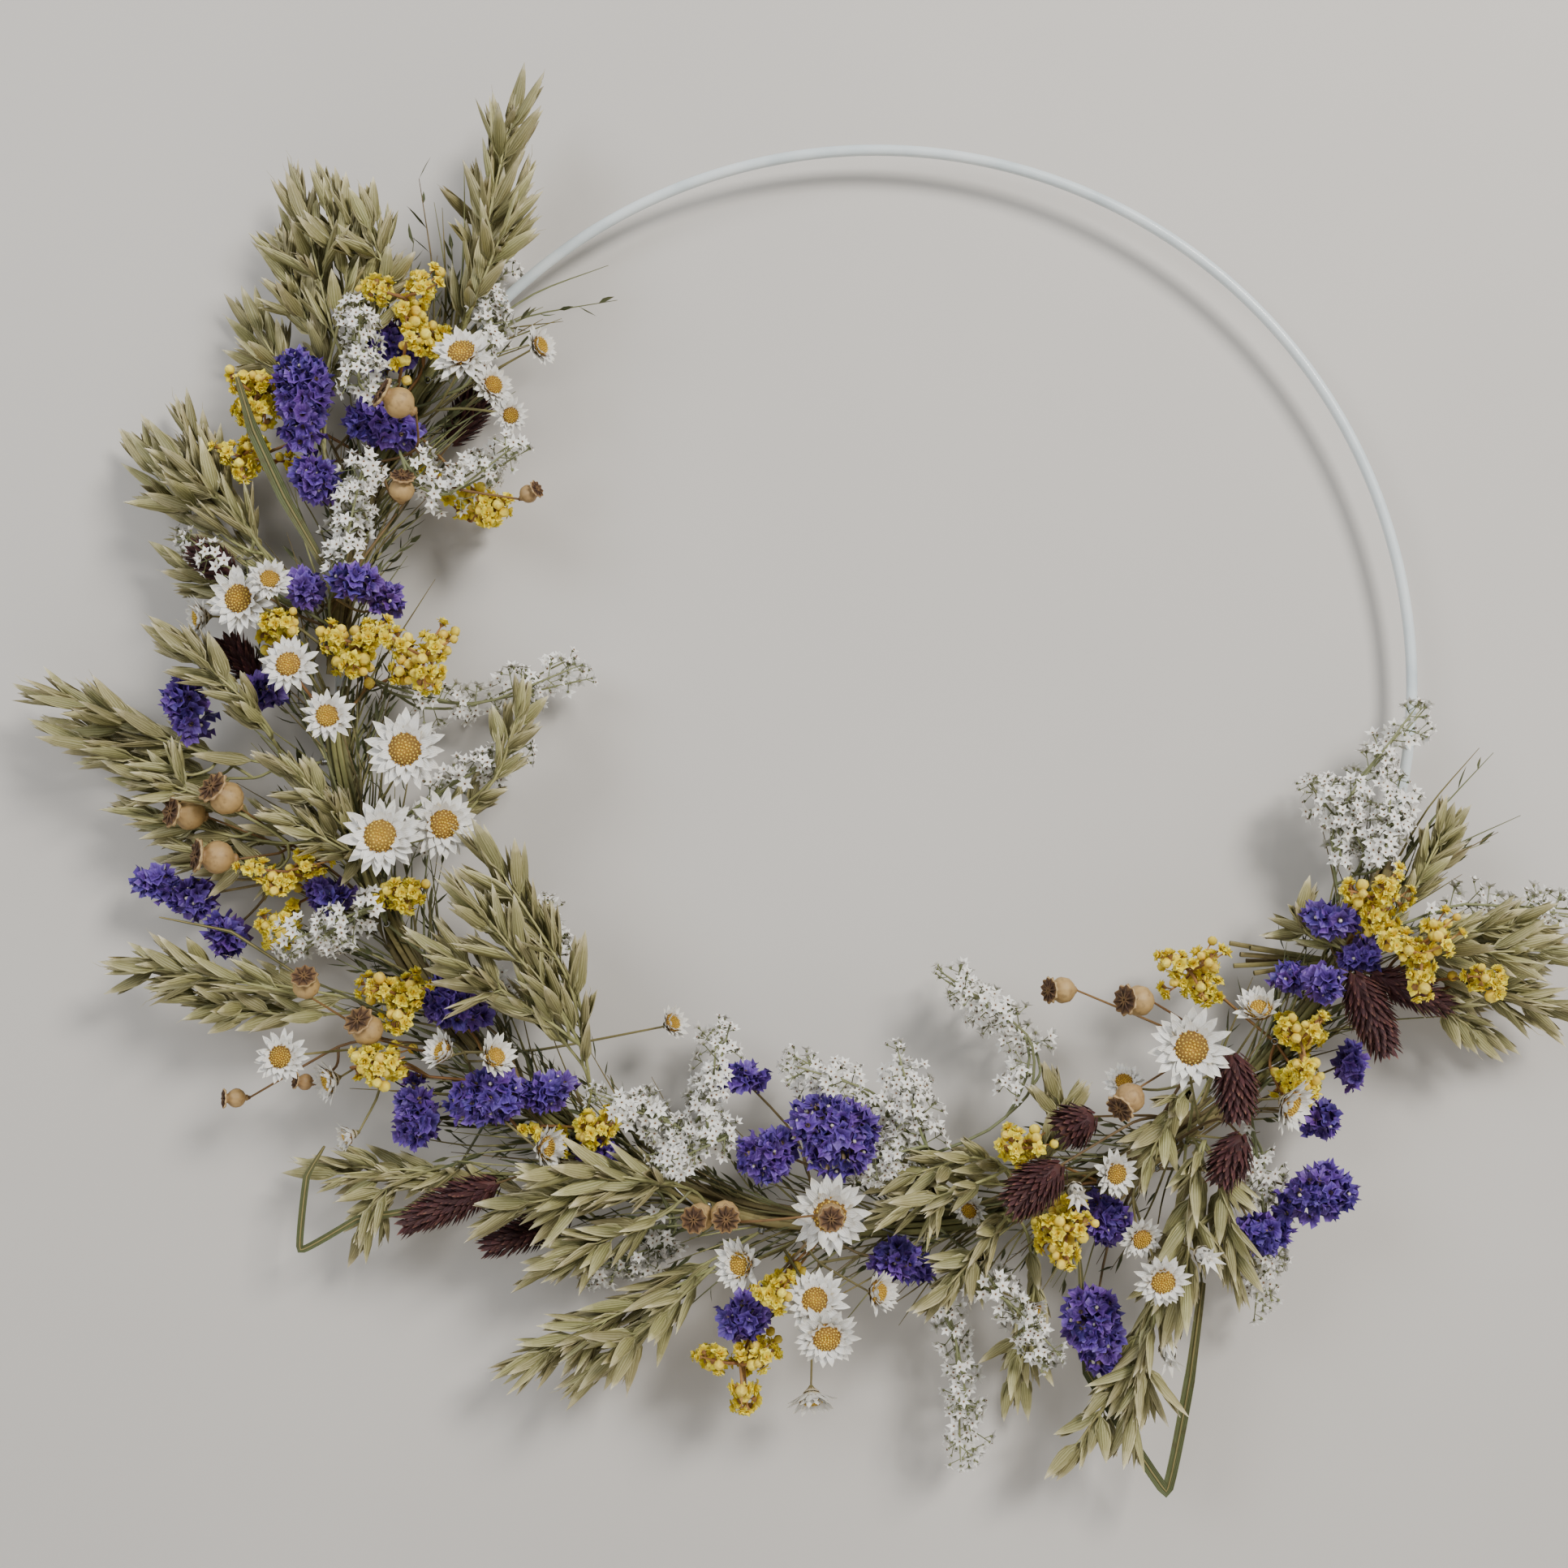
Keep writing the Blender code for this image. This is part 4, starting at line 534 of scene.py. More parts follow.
class Cluster:
    """A statice head: papery cups that stand out of a slim core, in a ring and one in front."""

    def __init__(self, centre, half_width, half_height, count):
        self.centre, self.count, self.cups = centre, count, []
        self.wide, self.high = half_width, half_height
        self.axis, self.base = vec(0, -1, 0), centre + vec(0, 4.0, 0)

    def turn(self, number):
        return math.tau * (number + 0.5) / self.count

    def reach(self, turn, share):
        """A point of the head's oval outline, at a share of the way out."""
        return vec(math.cos(turn) * self.wide, 0, math.sin(turn) * self.high) * share

    def hull(self):
        """The core, and the cups once they are placed."""
        short = min(self.wide, self.high) * 0.26
        far = vec(self.wide * 0.26 - short, 0, self.high * 0.26 - short)
        middle = self.centre + vec(0, 0.4, 0)
        core = [(middle - far, middle + far, max(short, 2.3)), (middle, self.base, 1.2)]
        return core + [capsule for cup in self.cups for capsule in cup.hull()]


class Sprout:
    """A spikelet, bloom or star on its stem, or a cup on its head, from its base along its axis."""

    def __init__(self, host, base, axis, kind, length, half):
        self.host, self.base, self.axis = host, base, axis
        self.kind, self.length, self.half = kind, length, half

    def nudge(self, rng):
        self.axis = unit(self.axis + vec(rng.uniform(-1, 1), rng.uniform(-1, 0.6), rng.uniform(-1, 1)) * 0.3)

    def hull(self):
        at = [self.base + self.axis * (self.length * share) for share in (0.06, 0.14, 0.6, 1)]
        if self.kind == "spikelet":
            return [(at[1], at[2], self.half), (at[2], at[3], self.half * 0.6)]
        if self.kind == "cup":
            heart = self.base + self.axis * (self.length * 0.8)
            return [(self.base, heart, self.half * 0.75), (heart, heart, self.half * 1.06)]
        if self.kind == "bloom":
            middle = self.base + self.axis * (self.length * 0.55)
            return [(at[1], middle, self.half * 0.7), (middle, middle, self.half * 1.1)]
        mouth = at[3] - self.axis * 0.6
        return [(at[1], at[2], self.half * 0.55), (mouth, mouth, self.half)]


class Stem:
    """A stem from its head or tip down to a joint, with what sprouts along it."""

    def __init__(self, points, radii, head=None):
        self.points, self.radii, self.head, self.sprouts = list(points), list(radii), head, []

    def hull(self):
        pairs = zip(self.points, self.points[1:], self.radii, self.radii[1:])
        found = [(a, b, max(r, s)) for a, b, r, s in pairs]
        found += self.head.hull() if self.head else []
        return found + [capsule for sprout in self.sprouts for capsule in sprout.hull()]


class Knot:
    """Where a node's stems meet, against the bound stems."""

    def __init__(self, centre, axis):
        self.centre, self.axis = centre, axis

    def hull(self):
        return [(self.centre, self.centre, KNOT)]


class Tube:
    """A plain tube of one radius through points, for wire, bound stems and stalks."""

    def __init__(self, points, radius):
        self.points, self.radius = points, radius

    def hull(self):
        return [(a, b, self.radius) for a, b in zip(self.points, self.points[1:])]


class Blade:
    """A leaf, wide one way and flat the other, and pointed at its tip."""

    def __init__(self, points, radii, wide):
        self.points, self.radii, self.wide = points, radii, wide

    def hull(self):
        pairs = zip(self.points, self.points[1:], self.radii, self.radii[1:])
        return [(a, b, max(r, s)) for a, b, r, s in pairs]


# Room: every piece keeps clear of the pieces of other nodes


def closest(p, q, s, t):
    """Least distances between capsules p-q (n by 1) and s-t (1 by m)."""
    one, two, off = q - p, t - s, p - s
    a = (one * one).sum(-1) + 1e-9
    e = (two * two).sum(-1) + 1e-9
    f, c, b = (two * off).sum(-1), (one * off).sum(-1), (one * two).sum(-1)
    first = np.clip((b * f - c * e) / np.maximum(a * e - b * b, 1e-9), 0, 1)
    second = (b * first + f) / e
    first = np.where(
        second < 0, np.clip(-c / a, 0, 1), np.where(second > 1, np.clip((b - c) / a, 0, 1), first),
    )
    second = np.clip(second, 0, 1)
    apart = p + one * first[..., None] - s - two * second[..., None]
    return np.sqrt((apart * apart).sum(-1))


MOST_CAPSULES = 90000


class Room:
    """Who fills which space, as capsules, with a box for each so that most are ruled out at once."""

    def __init__(self):
        self.count, self.ease = 0, 0.0
        self.starts, self.ends = np.zeros((MOST_CAPSULES, 3)), np.zeros((MOST_CAPSULES, 3))
        self.radii, self.owners = np.zeros(MOST_CAPSULES), np.zeros(MOST_CAPSULES, int)
        self.lows, self.highs = np.zeros((3, MOST_CAPSULES)), np.zeros((3, MOST_CAPSULES))

    def add(self, owner, pieces):
        for start, end, radius in (capsule for piece in pieces for capsule in piece.hull()):
            at = self.count
            self.starts[at], self.ends[at], self.radii[at], self.owners[at] = start, end, radius, owner
            self.lows[:, at] = np.minimum(start, end) - radius
            self.highs[:, at] = np.maximum(start, end) + radius
            self.count += 1

    def boxed(self, low, high, owner):
        """The capsules of others whose boxes meet a box."""
        near = np.flatnonzero(self.owners[: self.count] != owner)
        for axis in (2, 0, 1):
            near = near[(self.lows[axis, near] < high[axis]) & (self.highs[axis, near] > low[axis])]
        return near

    def crossed(self, owner, piece, gap=GAP):
        """Whether a piece comes too near another owner's."""
        gap -= self.ease
        hull = piece.hull()
        p, q = np.array([h[0] for h in hull]), np.array([h[1] for h in hull])
        r = np.array([h[2] for h in hull])
        lowest = -max(p[:, 1].max(), q[:, 1].max())
        highest = -min(p[:, 1].min(), q[:, 1].min())
        if lowest < LOWEST_LIFT or highest > HIGHEST_LIFT:
            return True
        low = (np.minimum(p, q) - r[:, None]).min(0) - gap
        high = (np.maximum(p, q) + r[:, None]).max(0) + gap
        near = self.boxed(low, high, owner)
        if not len(near):
            return False
        apart = closest(p[:, None], q[:, None], self.starts[None, near], self.ends[None, near])
        return bool((apart < r[:, None] + self.radii[None, near] + gap).any())


def siblings_cross(one, others):
    """Whether a sprout runs through one on the same stem. Only spikelets are compared down to their feet."""
    for other in others:
        for a, b, r in one.hull()[0 if one.kind == "spikelet" else -1:]:
            for c, d, s in other.hull()[0 if other.kind == "spikelet" else -1:]:
                apart = closest(a[None, None], b[None, None], c[None, None], d[None, None])[0, 0]
                if apart < (r + s) * SIBLINGS_CLEAR:
                    return True
    return False


class Node:
    """One node: its pieces, and the joints of its stems that others may grow from."""

    def __init__(self, name, number, room):
        self.name, self.number, self.room, self.pieces, self.joints = name, number, room, [], []
        self.rng = random.Random(number)

    def clear(self, pieces):
        return not any(self.room.crossed(self.number, piece) for piece in pieces)

    def keep(self, pieces):
        self.pieces += pieces
        self.room.add(self.number, pieces)

    def tie(self, angle, heart):
        """Puts the knot where the node's stems meet, on the bound stems, on the side of the node's heart."""
        best = None
        for shift in TIE_SHIFTS:
            middle = round_hoop(angle + shift, HOOP_RADIUS, STEMS_LIFT)
            outward = unit(middle - vec(0, -STEMS_LIFT, HOOP_Z))
            if in_gap(angle + shift):
                continue
            toward = heart - middle
            first = math.atan2(float(toward @ outward), max(-toward[1], 1.0))
            for swing in TIE_SWINGS:
                turn = max(-MOST_TIE_TURN, min(MOST_TIE_TURN, first + math.radians(swing)))
                normal = vec(0, -1, 0) * math.cos(turn) + outward * math.sin(turn)
                knot = Knot(middle + normal * (STEMS_RADIUS + KNOT_SEAT + KNOT), normal)
                cost = abs(shift) + abs(swing) * 0.1
                if (best is None or cost < best[0]) and not self.room.crossed(self.number, knot, 0.1):
                    best = (cost, knot)
        self.keep([best[1]])
        self.joints.append((best[1].centre, 0.0))

    def route(self, start, leave):
        """The rest of a stem, with one bend, from the start to the nearest joint that it can reach."""
        ranked = sorted(self.joints, key=lambda j: float(np.linalg.norm(start - j[0])) + WAY_ON * j[1])
        for joint, far in ranked[:NEAREST_JOINTS]:
            span = float(np.linalg.norm(joint - start))
            if span < SHORTEST_STEM:
                continue
            middle = (start + joint) / 2 + leave * min(span * 0.22, 14.0)
            u, v = square_to(unit(joint - start))
            for reach in BEND_REACHES:
                for turn in range(8 if reach else 1):
                    angle = turn * math.pi / 4
                    aside = u * math.cos(angle) + v * math.sin(angle)
                    bend = middle + aside * (reach * span + 2 * bool(reach))
                    if not self.room.crossed(self.number, Tube([start, bend, joint], STALK)):
                        neck = joint + unit(bend - joint) * NECK
                        return [bend, neck, joint], [(bend, far + float(np.linalg.norm(joint - bend)))]
        return None, []


def in_gap(angle):
    return not any(first + 1.0 < angle < last - 1.0 for _, first, last in RUNS)


# Growing each kind


def fitting(node, extras, rng):
    """The sprouts that find room, each tried a few ways."""
    kept = []
    for sprout in extras:
        for _ in range(5):
            if not node.room.crossed(node.number, sprout) and not node.room.crossed(None, sprout, 0.0):
                if not siblings_cross(sprout, kept):
                    kept.append(sprout)
                    break
            sprout.nudge(rng)
    return kept


def settle(node, build, least=0.6):
    """Tries a head at each lift and keeps the first that fits, or the one that loses the fewest sprouts."""
    best = None
    for number, lift in enumerate(LIFT_TRIES):
        rng = random.Random(number + 100 * node.number)
        stems, extras, leave = build(lift)
        if not node.clear(stems):
            continue
        kept = fitting(node, extras, rng)
        lost = len(extras) - len(kept)
        cost = lost + number * 0.15
        if len(kept) < least * len(extras) or (best is not None and best[0] <= cost):
            continue
        start = stems[0].points[-1]
        more, joints = node.route(start, leave)
        if more is None:
            continue
        best = (cost, stems, kept, more, joints)
        if lost == 0:
            break
    if best is None:
        return False
    _, stems, kept, more, joints = best
    for sprout in kept:
        (sprout.host.cups if isinstance(sprout.host, Cluster) else sprout.host.sprouts).append(sprout)
    stems[0].points += more
    stems[0].radii += [STALK, STALK, 0.0]
    node.keep(stems)
    node.joints += joints
    return True


def grow_oats(node, tip_lift, base_lift, count, path):
    seed = node.rng.random()

    def build(lift):
        rng = random.Random(seed)
        lifts = spread(tip_lift + lift, base_lift + lift, len(path))
        points = [place(x, y, at) for (x, y), at in zip(path, lifts)]
        length = sum(float(np.linalg.norm(b - a)) for a, b in zip(points, points[1:]))
        size = min(SPIKELET_LENGTHS[1], max(SPIKELET_LENGTHS[0], length * SPIKELET_SHARE))
        tip_way = unit(points[0] - points[1])
        points[0] = points[0] - tip_way * size * 0.85
        points[1:] = [(points[1] + points[2]) / 2]
        stem = Stem(points, [0.45, STALK])
        extras = [Sprout(stem, points[0], tip_way, "spikelet", size, 2.1)]
        for share, side in whorled(count - 1, 0.24, 0.8):
            at, way = along(points, share)
            axis = unit(-way + sided(way, side, rng.uniform(0.4, 0.6), rng.uniform(0.0, 0.1)))
            reach, half = size * rng.uniform(0.9, 1.05), rng.uniform(1.9, 2.3)
            extras.append(Sprout(stem, at, axis, "spikelet", reach, half))
        return [stem], extras, unit(points[-1] - points[-2])

    return settle(node, build, least=0.5)


def headed(head):
    """The start of a stem with a head, and the way that it leaves the head."""
    return [Stem([head.base], [STALK * 0.9], head)], -head.axis


def grow_daisy(node, x, y, lift, width, lean, close):
    roll = node.rng.random() * 3

    def build(more):
        centre, axis = place(x, y, lift + more), unit(vec(lean[0], -1, lean[1]))
        if close > BUD_FROM:
            stems, leave = headed(Turned("bud", centre, axis, width / 2, roll))
        else:
            stems, leave = headed(Daisy(centre, axis, width / 2, close, roll))
        return stems, [], leave

    return settle(node, build)


def grow_pod(node, x, y, lift, width, lean):
    roll = node.rng.random() * 3

    def build(more):
        axis = unit(vec(lean[0], -1, lean[1]))
        stems, leave = headed(Turned("pod", place(x, y, lift + more), axis, width / 2, roll))
        return stems, [], leave

    return settle(node, build)


def grow_brush(node, lift, width, base, tip):
    roll = node.rng.random() * 3

    def build(more):
        low, high = place(*base, lift + more), place(*tip, lift + more + 3)
        length = float(np.linalg.norm(high - low))
        stems, leave = headed(Turned("brush", low, unit(high - low), width / 2, roll, length))
        return stems, [], leave

    return settle(node, build)


def grow_statice(node, x, y, lift, width, height, count):
    seed = node.rng.random()

    def build(more):
        rng = random.Random(seed)
        head = Cluster(place(x, y, lift + more), width / 2, height / 2, count)
        cup = min(5.0, max(3.4, (width + height) * 0.4 / count + 1.6))
        extras = []
        for i in range(count):
            turn = head.turn(i)
            base = head.centre + head.reach(turn, 0.26)
            goal = head.centre + head.reach(turn, 0.86) - vec(0, rng.uniform(1.5, 5.0), 0)
            length = max(float(np.linalg.norm(goal - base)), 4.0)
            half = cup * rng.uniform(0.85, 1.05)
            extras.append(Sprout(head, base, unit(goal - base), "cup", length, half))
        front = head.centre - vec(0, 1.6, 0)
        axis = unit(vec(rng.uniform(-0.4, 0.4), -1, 0.3))
        extras.append(Sprout(head, front, axis, "cup", 5.2, cup))
        stems, leave = headed(head)
        return stems, extras, leave

    return settle(node, build, least=0.4)


def grow_yellow(node, x, y, lift, width, height, twigs, blooms):
    seed = node.rng.random()

    def build(more):
        rng = random.Random(seed)
        centre = place(x, y, lift + more)
        hub = centre + vec(0, 4, 0)
        stems, extras = [], []
        for i in range(twigs):
            turn = math.tau * (i + 0.3) / twigs + rng.uniform(-0.3, 0.3)
            far = vec(math.cos(turn) * width / 2, rng.uniform(-7, -1), math.sin(turn) * height / 2)
            if twigs == 1:
                hub, far = centre - vec(width / 2, -4, height / 4), vec(width / 2, -4, height / 4)
            end = hub + far * rng.uniform(0.75, 0.92)
            sway = vec(rng.uniform(-0.6, 0.6), 0, rng.uniform(-0.6, 0.6))
            bend = hub + vec(far[0] * 0.4, -3.4, far[2] * 0.4) + sway
            twig = Stem([end, bend, hub], [0.42, 0.5, 0.5])
            if i:
                twig = Stem([end, bend, hub + unit(bend - hub) * NECK, hub], [0.42, 0.5, 0.5, 0.0])
            stems.append(twig)
            axis = unit(end - bend + vec(0, -2, 0))
            extras.append(Sprout(twig, end, axis, "bloom", 5.4, rng.uniform(2.2, 2.7)))
            for share, side in whorled(blooms - 1, 0.36, 0.5):
                at, way = along(twig.points, share)
                axis = unit(sided(way, side, 1.0, rng.uniform(0.1, 0.5)) - way * 0.2)
                length, half = rng.uniform(6.0, 7.5), rng.uniform(2.3, 3.0)
                extras.append(Sprout(twig, at, axis, "bloom", length, half))
        clear = [twig for twig in stems if not node.room.crossed(node.number, twig)]
        if stems[0] in clear:
            stems = clear
        extras = [sprout for sprout in extras if sprout.host in stems]
        return stems, extras, vec(0, 1, 0)

    return settle(node, build, least=0.5)


def grow_stars(node, tip_lift, base_lift, count, path):
    seed = node.rng.random()

    def build(lift):
        rng = random.Random(seed)
        lifts = spread(tip_lift + lift, base_lift + lift, len(path))
        points = [place(x, y, at) for (x, y), at in zip(path, lifts)]
        points[1:] = [(points[1] + points[2]) / 2]
        stem = Stem(points, [0.42, STALK])
        extras = [Sprout(stem, points[0], unit(points[0] - points[1]), "star", 5.0, 2.4)]
        for share, side in whorled(count - 1, 0.22, 0.75):
            at, way = along(points, share)
            axis = unit(sided(way, side, 0.9, rng.uniform(0.0, 0.3)) - way * 0.5)
            extras.append(Sprout(stem, at, axis, "star", rng.uniform(5.0, 7.0), 2.6))
        return [stem], extras, unit(points[-1] - points[-2])

    return settle(node, build, least=0.5)


def grow_leaf(node, tip_lift, base_lift, width, path):
    """A leaf's blade, which the route carries on to its joint as a stalk."""
    for more in LIFT_TRIES:
        lifts = spread(tip_lift + more, base_lift + more, len(path))
        points = [place(x, y, at) for (x, y), at in zip(path, lifts)]
        radii = [width * 0.16] + [width / 2] * (len(points) - 2) + [width * 0.3]
        wide = unit(cross(points[1] - points[0], vec(0, 1, 0)))
        blade = Blade(points, radii, wide)
        if not node.clear([blade]):
            continue
        way = unit(points[-1] - points[-2])
        tail, _ = node.route(points[-1] - way * 1.5, way)
        if tail:
            node.keep([blade, Stem([points[-1] - way * 1.5] + tail, [STALK] * 3 + [0.0])])
            return True
    return False


# The made parts


class Hoop:
    """The round tube, a closed ring."""

    steps = 48

    def hull(self):
        points = [round_hoop(360 * i / self.steps) for i in range(self.steps + 1)]
        return [(a, b, HOOP_TUBE / 2) for a, b in zip(points, points[1:])]


def bound_run(first, last):
    """A run of the bound stems along the hoop's front."""
    steps = max(int((last - first) / 7), 3)
    points = [round_hoop(angle, HOOP_RADIUS, STEMS_LIFT) for angle in spread(first, last, steps + 1)]
    return Tube(points, STEMS_RADIUS)


def cut_ends():
    """Cut stems that splay inwards from the last run."""
    root = place(*CUT_ROOT, STEMS_LIFT)
    return [Tube([root, place(x, y, STEMS_LIFT + lift - 6)], 0.9) for x, y, lift in CUT_ENDS]


def wound_wire():
    """The room of the wire wound round the hoop and the stems, in six flat steps to a turn."""
    first, last = RUNS[0][1] + 2, RUNS[-1][2] - 2
    count = int((last - first) / WIRE_PITCH) * 6
    reach = WIRE_TURN / math.cos(math.pi / 6)
    lift = (STEMS_LIFT + STEMS_RADIUS - HOOP_TUBE / 2) / 2
    points = []
    for i in range(count + 1):
        turn = math.tau * (i + 0.5) / 6
        angle = first + (last - first) * i / count
        points.append(round_hoop(angle, HOOP_RADIUS + reach * math.sin(turn), lift + reach * math.cos(turn)))
    return Tube(points, WIRE)


# The whole layout

KINDS = (
    (DAISIES, grow_daisy), (PODS, grow_pod), (BRUSHES, grow_brush), (LEAVES, grow_leaf),
    (STATICE, grow_statice), (OATS, grow_oats), (YELLOWS, grow_yellow), (STARS, grow_stars),
)


def heart_of(entries):
    """A rough middle of a node's heads, to choose the side of the stems that it is tied on."""
    points = []
    for entry in entries:
        if isinstance(entry[-1], list):
            points.append(place(*entry[-1][-1], entry[1]))
        elif isinstance(entry[-1], tuple) and isinstance(entry[-2], tuple):
            points.append(place(*entry[-2], entry[0]))
        else:
            points.append(place(entry[0], entry[1], entry[2] * 0.7))
    return sum(points) / len(points)


def lay_out():
    """Every node's pieces, by name, and the grown nodes."""
    room, nodes, grown = Room(), {}, []
    nodes["hoop"] = [Hoop()]
    room.add(HOOP_OWNER, nodes["hoop"])
    for number, (name, first, last) in enumerate(RUNS):
        pieces = [bound_run(first, last)] + (cut_ends() if number == len(RUNS) - 1 else [])
        nodes[name] = pieces
        room.add(FIRST_RUN - number, pieces)
    nodes["binding_wire"] = [wound_wire()]
    room.add(WIRE_OWNER, nodes["binding_wire"])
    number = 0
    for plan, grow in KINDS:
        for name, (angle, entries) in plan.items():
            number += 1
            node = Node(name, number, room)
            node.tie(angle, heart_of(entries))
            for entry in entries:
                grow(node, *entry)
            nodes[name] = node.pieces
            grown.append(node)
    return nodes, grown


# The fine shapes


def cross(a, b):
    """The cross product of two single directions, which is quicker than the one for arrays."""
    (ax, ay, az), (bx, by, bz) = a, b
    return np.array((ay * bz - az * by, az * bx - ax * bz, ax * by - ay * bx))


@functools.lru_cache(maxsize=None)
def corners_of(rows, columns, closed):
    """The corners of a grid's faces, and how far across and along the grid each one lies."""
    steps = columns if closed else columns - 1
    i, j = np.meshgrid(np.arange(rows - 1), np.arange(steps), indexing="ij")
    after = (j + 1) % columns
    corners = np.stack(
        [i * columns + j, i * columns + after, (i + 1) * columns + after, (i + 1) * columns + j], -1,
    )
    across = np.stack([j, j + 1, j + 1, j], -1) / steps * 0.96 + 0.02
    upward = np.stack([i, i, i + 1, i + 1], -1) / (rows - 1)
    return corners.reshape(-1, 4), across.reshape(-1, 4), upward.reshape(-1, 4)


class Work:
    """A mesh in the making, from grids of points.

    Each face corner has a place: a number for its grid plus how far across it lies, and how far along.
    """

    def __init__(self, seed):
        self.points, self.faces, self.places, self.looks = [], [], [], []
        self.total, self.grids, self.names = 0, 0, []
        self.rng = random.Random(seed)

    def grid(self, points, look, closed=False):
        rows, columns = points.shape[:2]
        corners, across, upward = corners_of(rows, columns, closed)
        if look not in self.names:
            self.names.append(look)
        places = np.empty((len(corners), 4, 2))
        places[..., 0], places[..., 1] = across + self.grids, upward
        self.points.append(points.reshape(-1, 3))
        self.faces.append(corners + self.total)
        self.places.append(places)
        self.looks.append(np.full(len(corners), self.names.index(look)))
        self.total += rows * columns
        self.grids = (self.grids + 1) % 4000

    def mesh(self, name):
        points, faces = np.concatenate(self.points) * METRES, np.concatenate(self.faces)
        mesh = bpy.data.meshes.new(name)
        mesh.vertices.add(len(points))
        mesh.vertices.foreach_set("co", points.ravel())
        mesh.loops.add(faces.size)
        mesh.loops.foreach_set("vertex_index", faces.ravel().astype(np.int32))
        mesh.polygons.add(len(faces))
        mesh.polygons.foreach_set("loop_start", np.arange(0, faces.size, 4, dtype=np.int32))
        mesh.polygons.foreach_set("material_index", np.concatenate(self.looks).astype(np.int32))
        mesh.update(calc_edges=True)
        layer = mesh.uv_layers.new(name="places")
        layer.data.foreach_set("uv", np.concatenate(self.places).ravel())
        mesh.shade_smooth()
        return mesh


def smooth(points, each=5, most=25.0):
    """A smooth path through the points that keeps close to the straight runs between them."""
    points = [np.array(p, float) for p in points]
    spans = [float(np.linalg.norm(b - a)) for a, b in zip(points, points[1:])]
    slopes = []
    for i in range(len(points)):
        before, after = points[max(i - 1, 0)], points[min(i + 1, len(points) - 1)]
        reach = min(spans[max(i - 1, 0)], spans[min(i, len(spans) - 1)], most)
        slopes.append(unit(after - before) * reach)
    path = []
    for i, span in enumerate(spans):
        count = each if span > 2 else 2
        for t in np.arange(count) / count:
            a, b = points[i], points[i + 1]
            path.append(
                (2 * t**3 - 3 * t**2 + 1) * a + (t**3 - 2 * t**2 + t) * slopes[i]
                + (3 * t**2 - 2 * t**3) * b + (t**3 - t**2) * slopes[i + 1]
            )
    return np.array(path + [points[-1]])


def nearest(path, point):
    """The point of a path that is nearest to another point."""
    starts, spans = path[:-1], np.diff(path, axis=0)
    share = ((point - starts) * spans).sum(1) / np.maximum((spans * spans).sum(1), 1e-9)
    spots = starts + spans * np.clip(share, 0, 1)[:, None]
    return spots[np.argmin(((spots - point) ** 2).sum(1))]


def frames(path):
    """Two directions across the path at each of its points, without twist."""
    ways = np.gradient(path, axis=0)
    ways /= np.maximum(np.linalg.norm(ways, axis=1, keepdims=True), 1e-9)
    side = square_to(ways[0])[0]
    sides, others = [], []
    for way in ways:
        side = unit(side - way * float(side @ way))
        sides.append(side)
        others.append(cross(way, side))
    return np.array(sides), np.array(others)


def tube(work, look, path, radii, sides=6):
    path = np.asarray(path, float)
    radii = np.interp(np.linspace(0, 1, len(path)), np.linspace(0, 1, len(radii)), radii)
    u, v = frames(path)
    turn = np.arange(sides) * math.tau / sides
    ringed = u[:, None] * np.cos(turn)[None, :, None] + v[:, None] * np.sin(turn)[None, :, None]
    work.grid(path[:, None] + ringed * radii[:, None, None], look, True)


def lathe(work, look, centre, axis, profile, sides, ribs=(0, 0.0)):
    """A turned surface from (distance along, radius) pairs, with ribs: how many and how deep."""
    u, v = square_to(axis)
    turn = np.arange(sides) * math.tau / sides
    along_it, out = np.array(profile, float).T
    wave = 1 + ribs[1] * np.cos(turn * ribs[0])
    spokes = (u * np.cos(turn)[:, None] + v * np.sin(turn)[:, None]) * wave[:, None]
    work.grid(centre + axis * along_it[:, None, None] + spokes[None] * out[:, None, None], look, True)


def lance(v):
    return np.sin(math.pi * np.clip(v, 0, 1) ** 0.72) ** 0.85 + 0.03


def pointed(v):
    return np.clip(v + 0.12, 0, 1) ** 0.45 * (1 - v) ** 0.75 * 1.5 + 0.015


def broad(v):
    return np.clip(v + 0.1, 0, 1) ** 0.5 * (1 - v**2.4) ** 0.9 + 0.015


def rounded(v):
    return np.clip(v + 0.08, 0, 1) ** 0.7 * (1 - v**4) ** 0.6 + 0.03


@functools.lru_cache(maxsize=None)
def outline_of(form, rows, columns):
    v = np.linspace(0, 1, rows + 1)[:, None, None]
    return v, np.linspace(-1, 1, columns + 1)[None, :, None], form(v)


def sheet(
    work, look, base, way, face, length, width, form, rows=4, columns=2, wrap=0.0, cup=0.0, curl=0.0,
    bow=0.0, ruffle=0.0,
):
    """A bract, petal or husk from its base along a way. Its edges bend towards the side that it faces."""
    way = unit(way)
    side = unit(cross(way, face))
    face = cross(side, way)
    v, u, half = outline_of(form, rows, columns)
    half = half * (width / 2)
    if wrap:
        across = half * np.sin(u * wrap) / math.sin(min(wrap, math.pi / 2))
        rise = half * (1 - np.cos(u * wrap)) * 1.1
    else:
        across, rise = half * u, cup * half * u**2
    rise = rise + curl * length * v**2 - bow * np.sin(math.pi * v)
    if ruffle:
        phase = work.rng.random() * 6
        rise = rise + ruffle * v * np.sin(u * 5 + phase + v * 4)
    points = base + way * (length * v * (1 - 0.25 * curl * curl * v)) + side * across + face * rise
    work.grid(points, look)


DISC_FLORETS = 90


def round_spots(axis, count, first=0.0):
    """Directions square to the axis, evenly round it."""
    u, v = square_to(axis)
    turns = [first + math.tau * i / count for i in range(count)]
    return [u * math.cos(t) + v * math.sin(t) for t in turns]


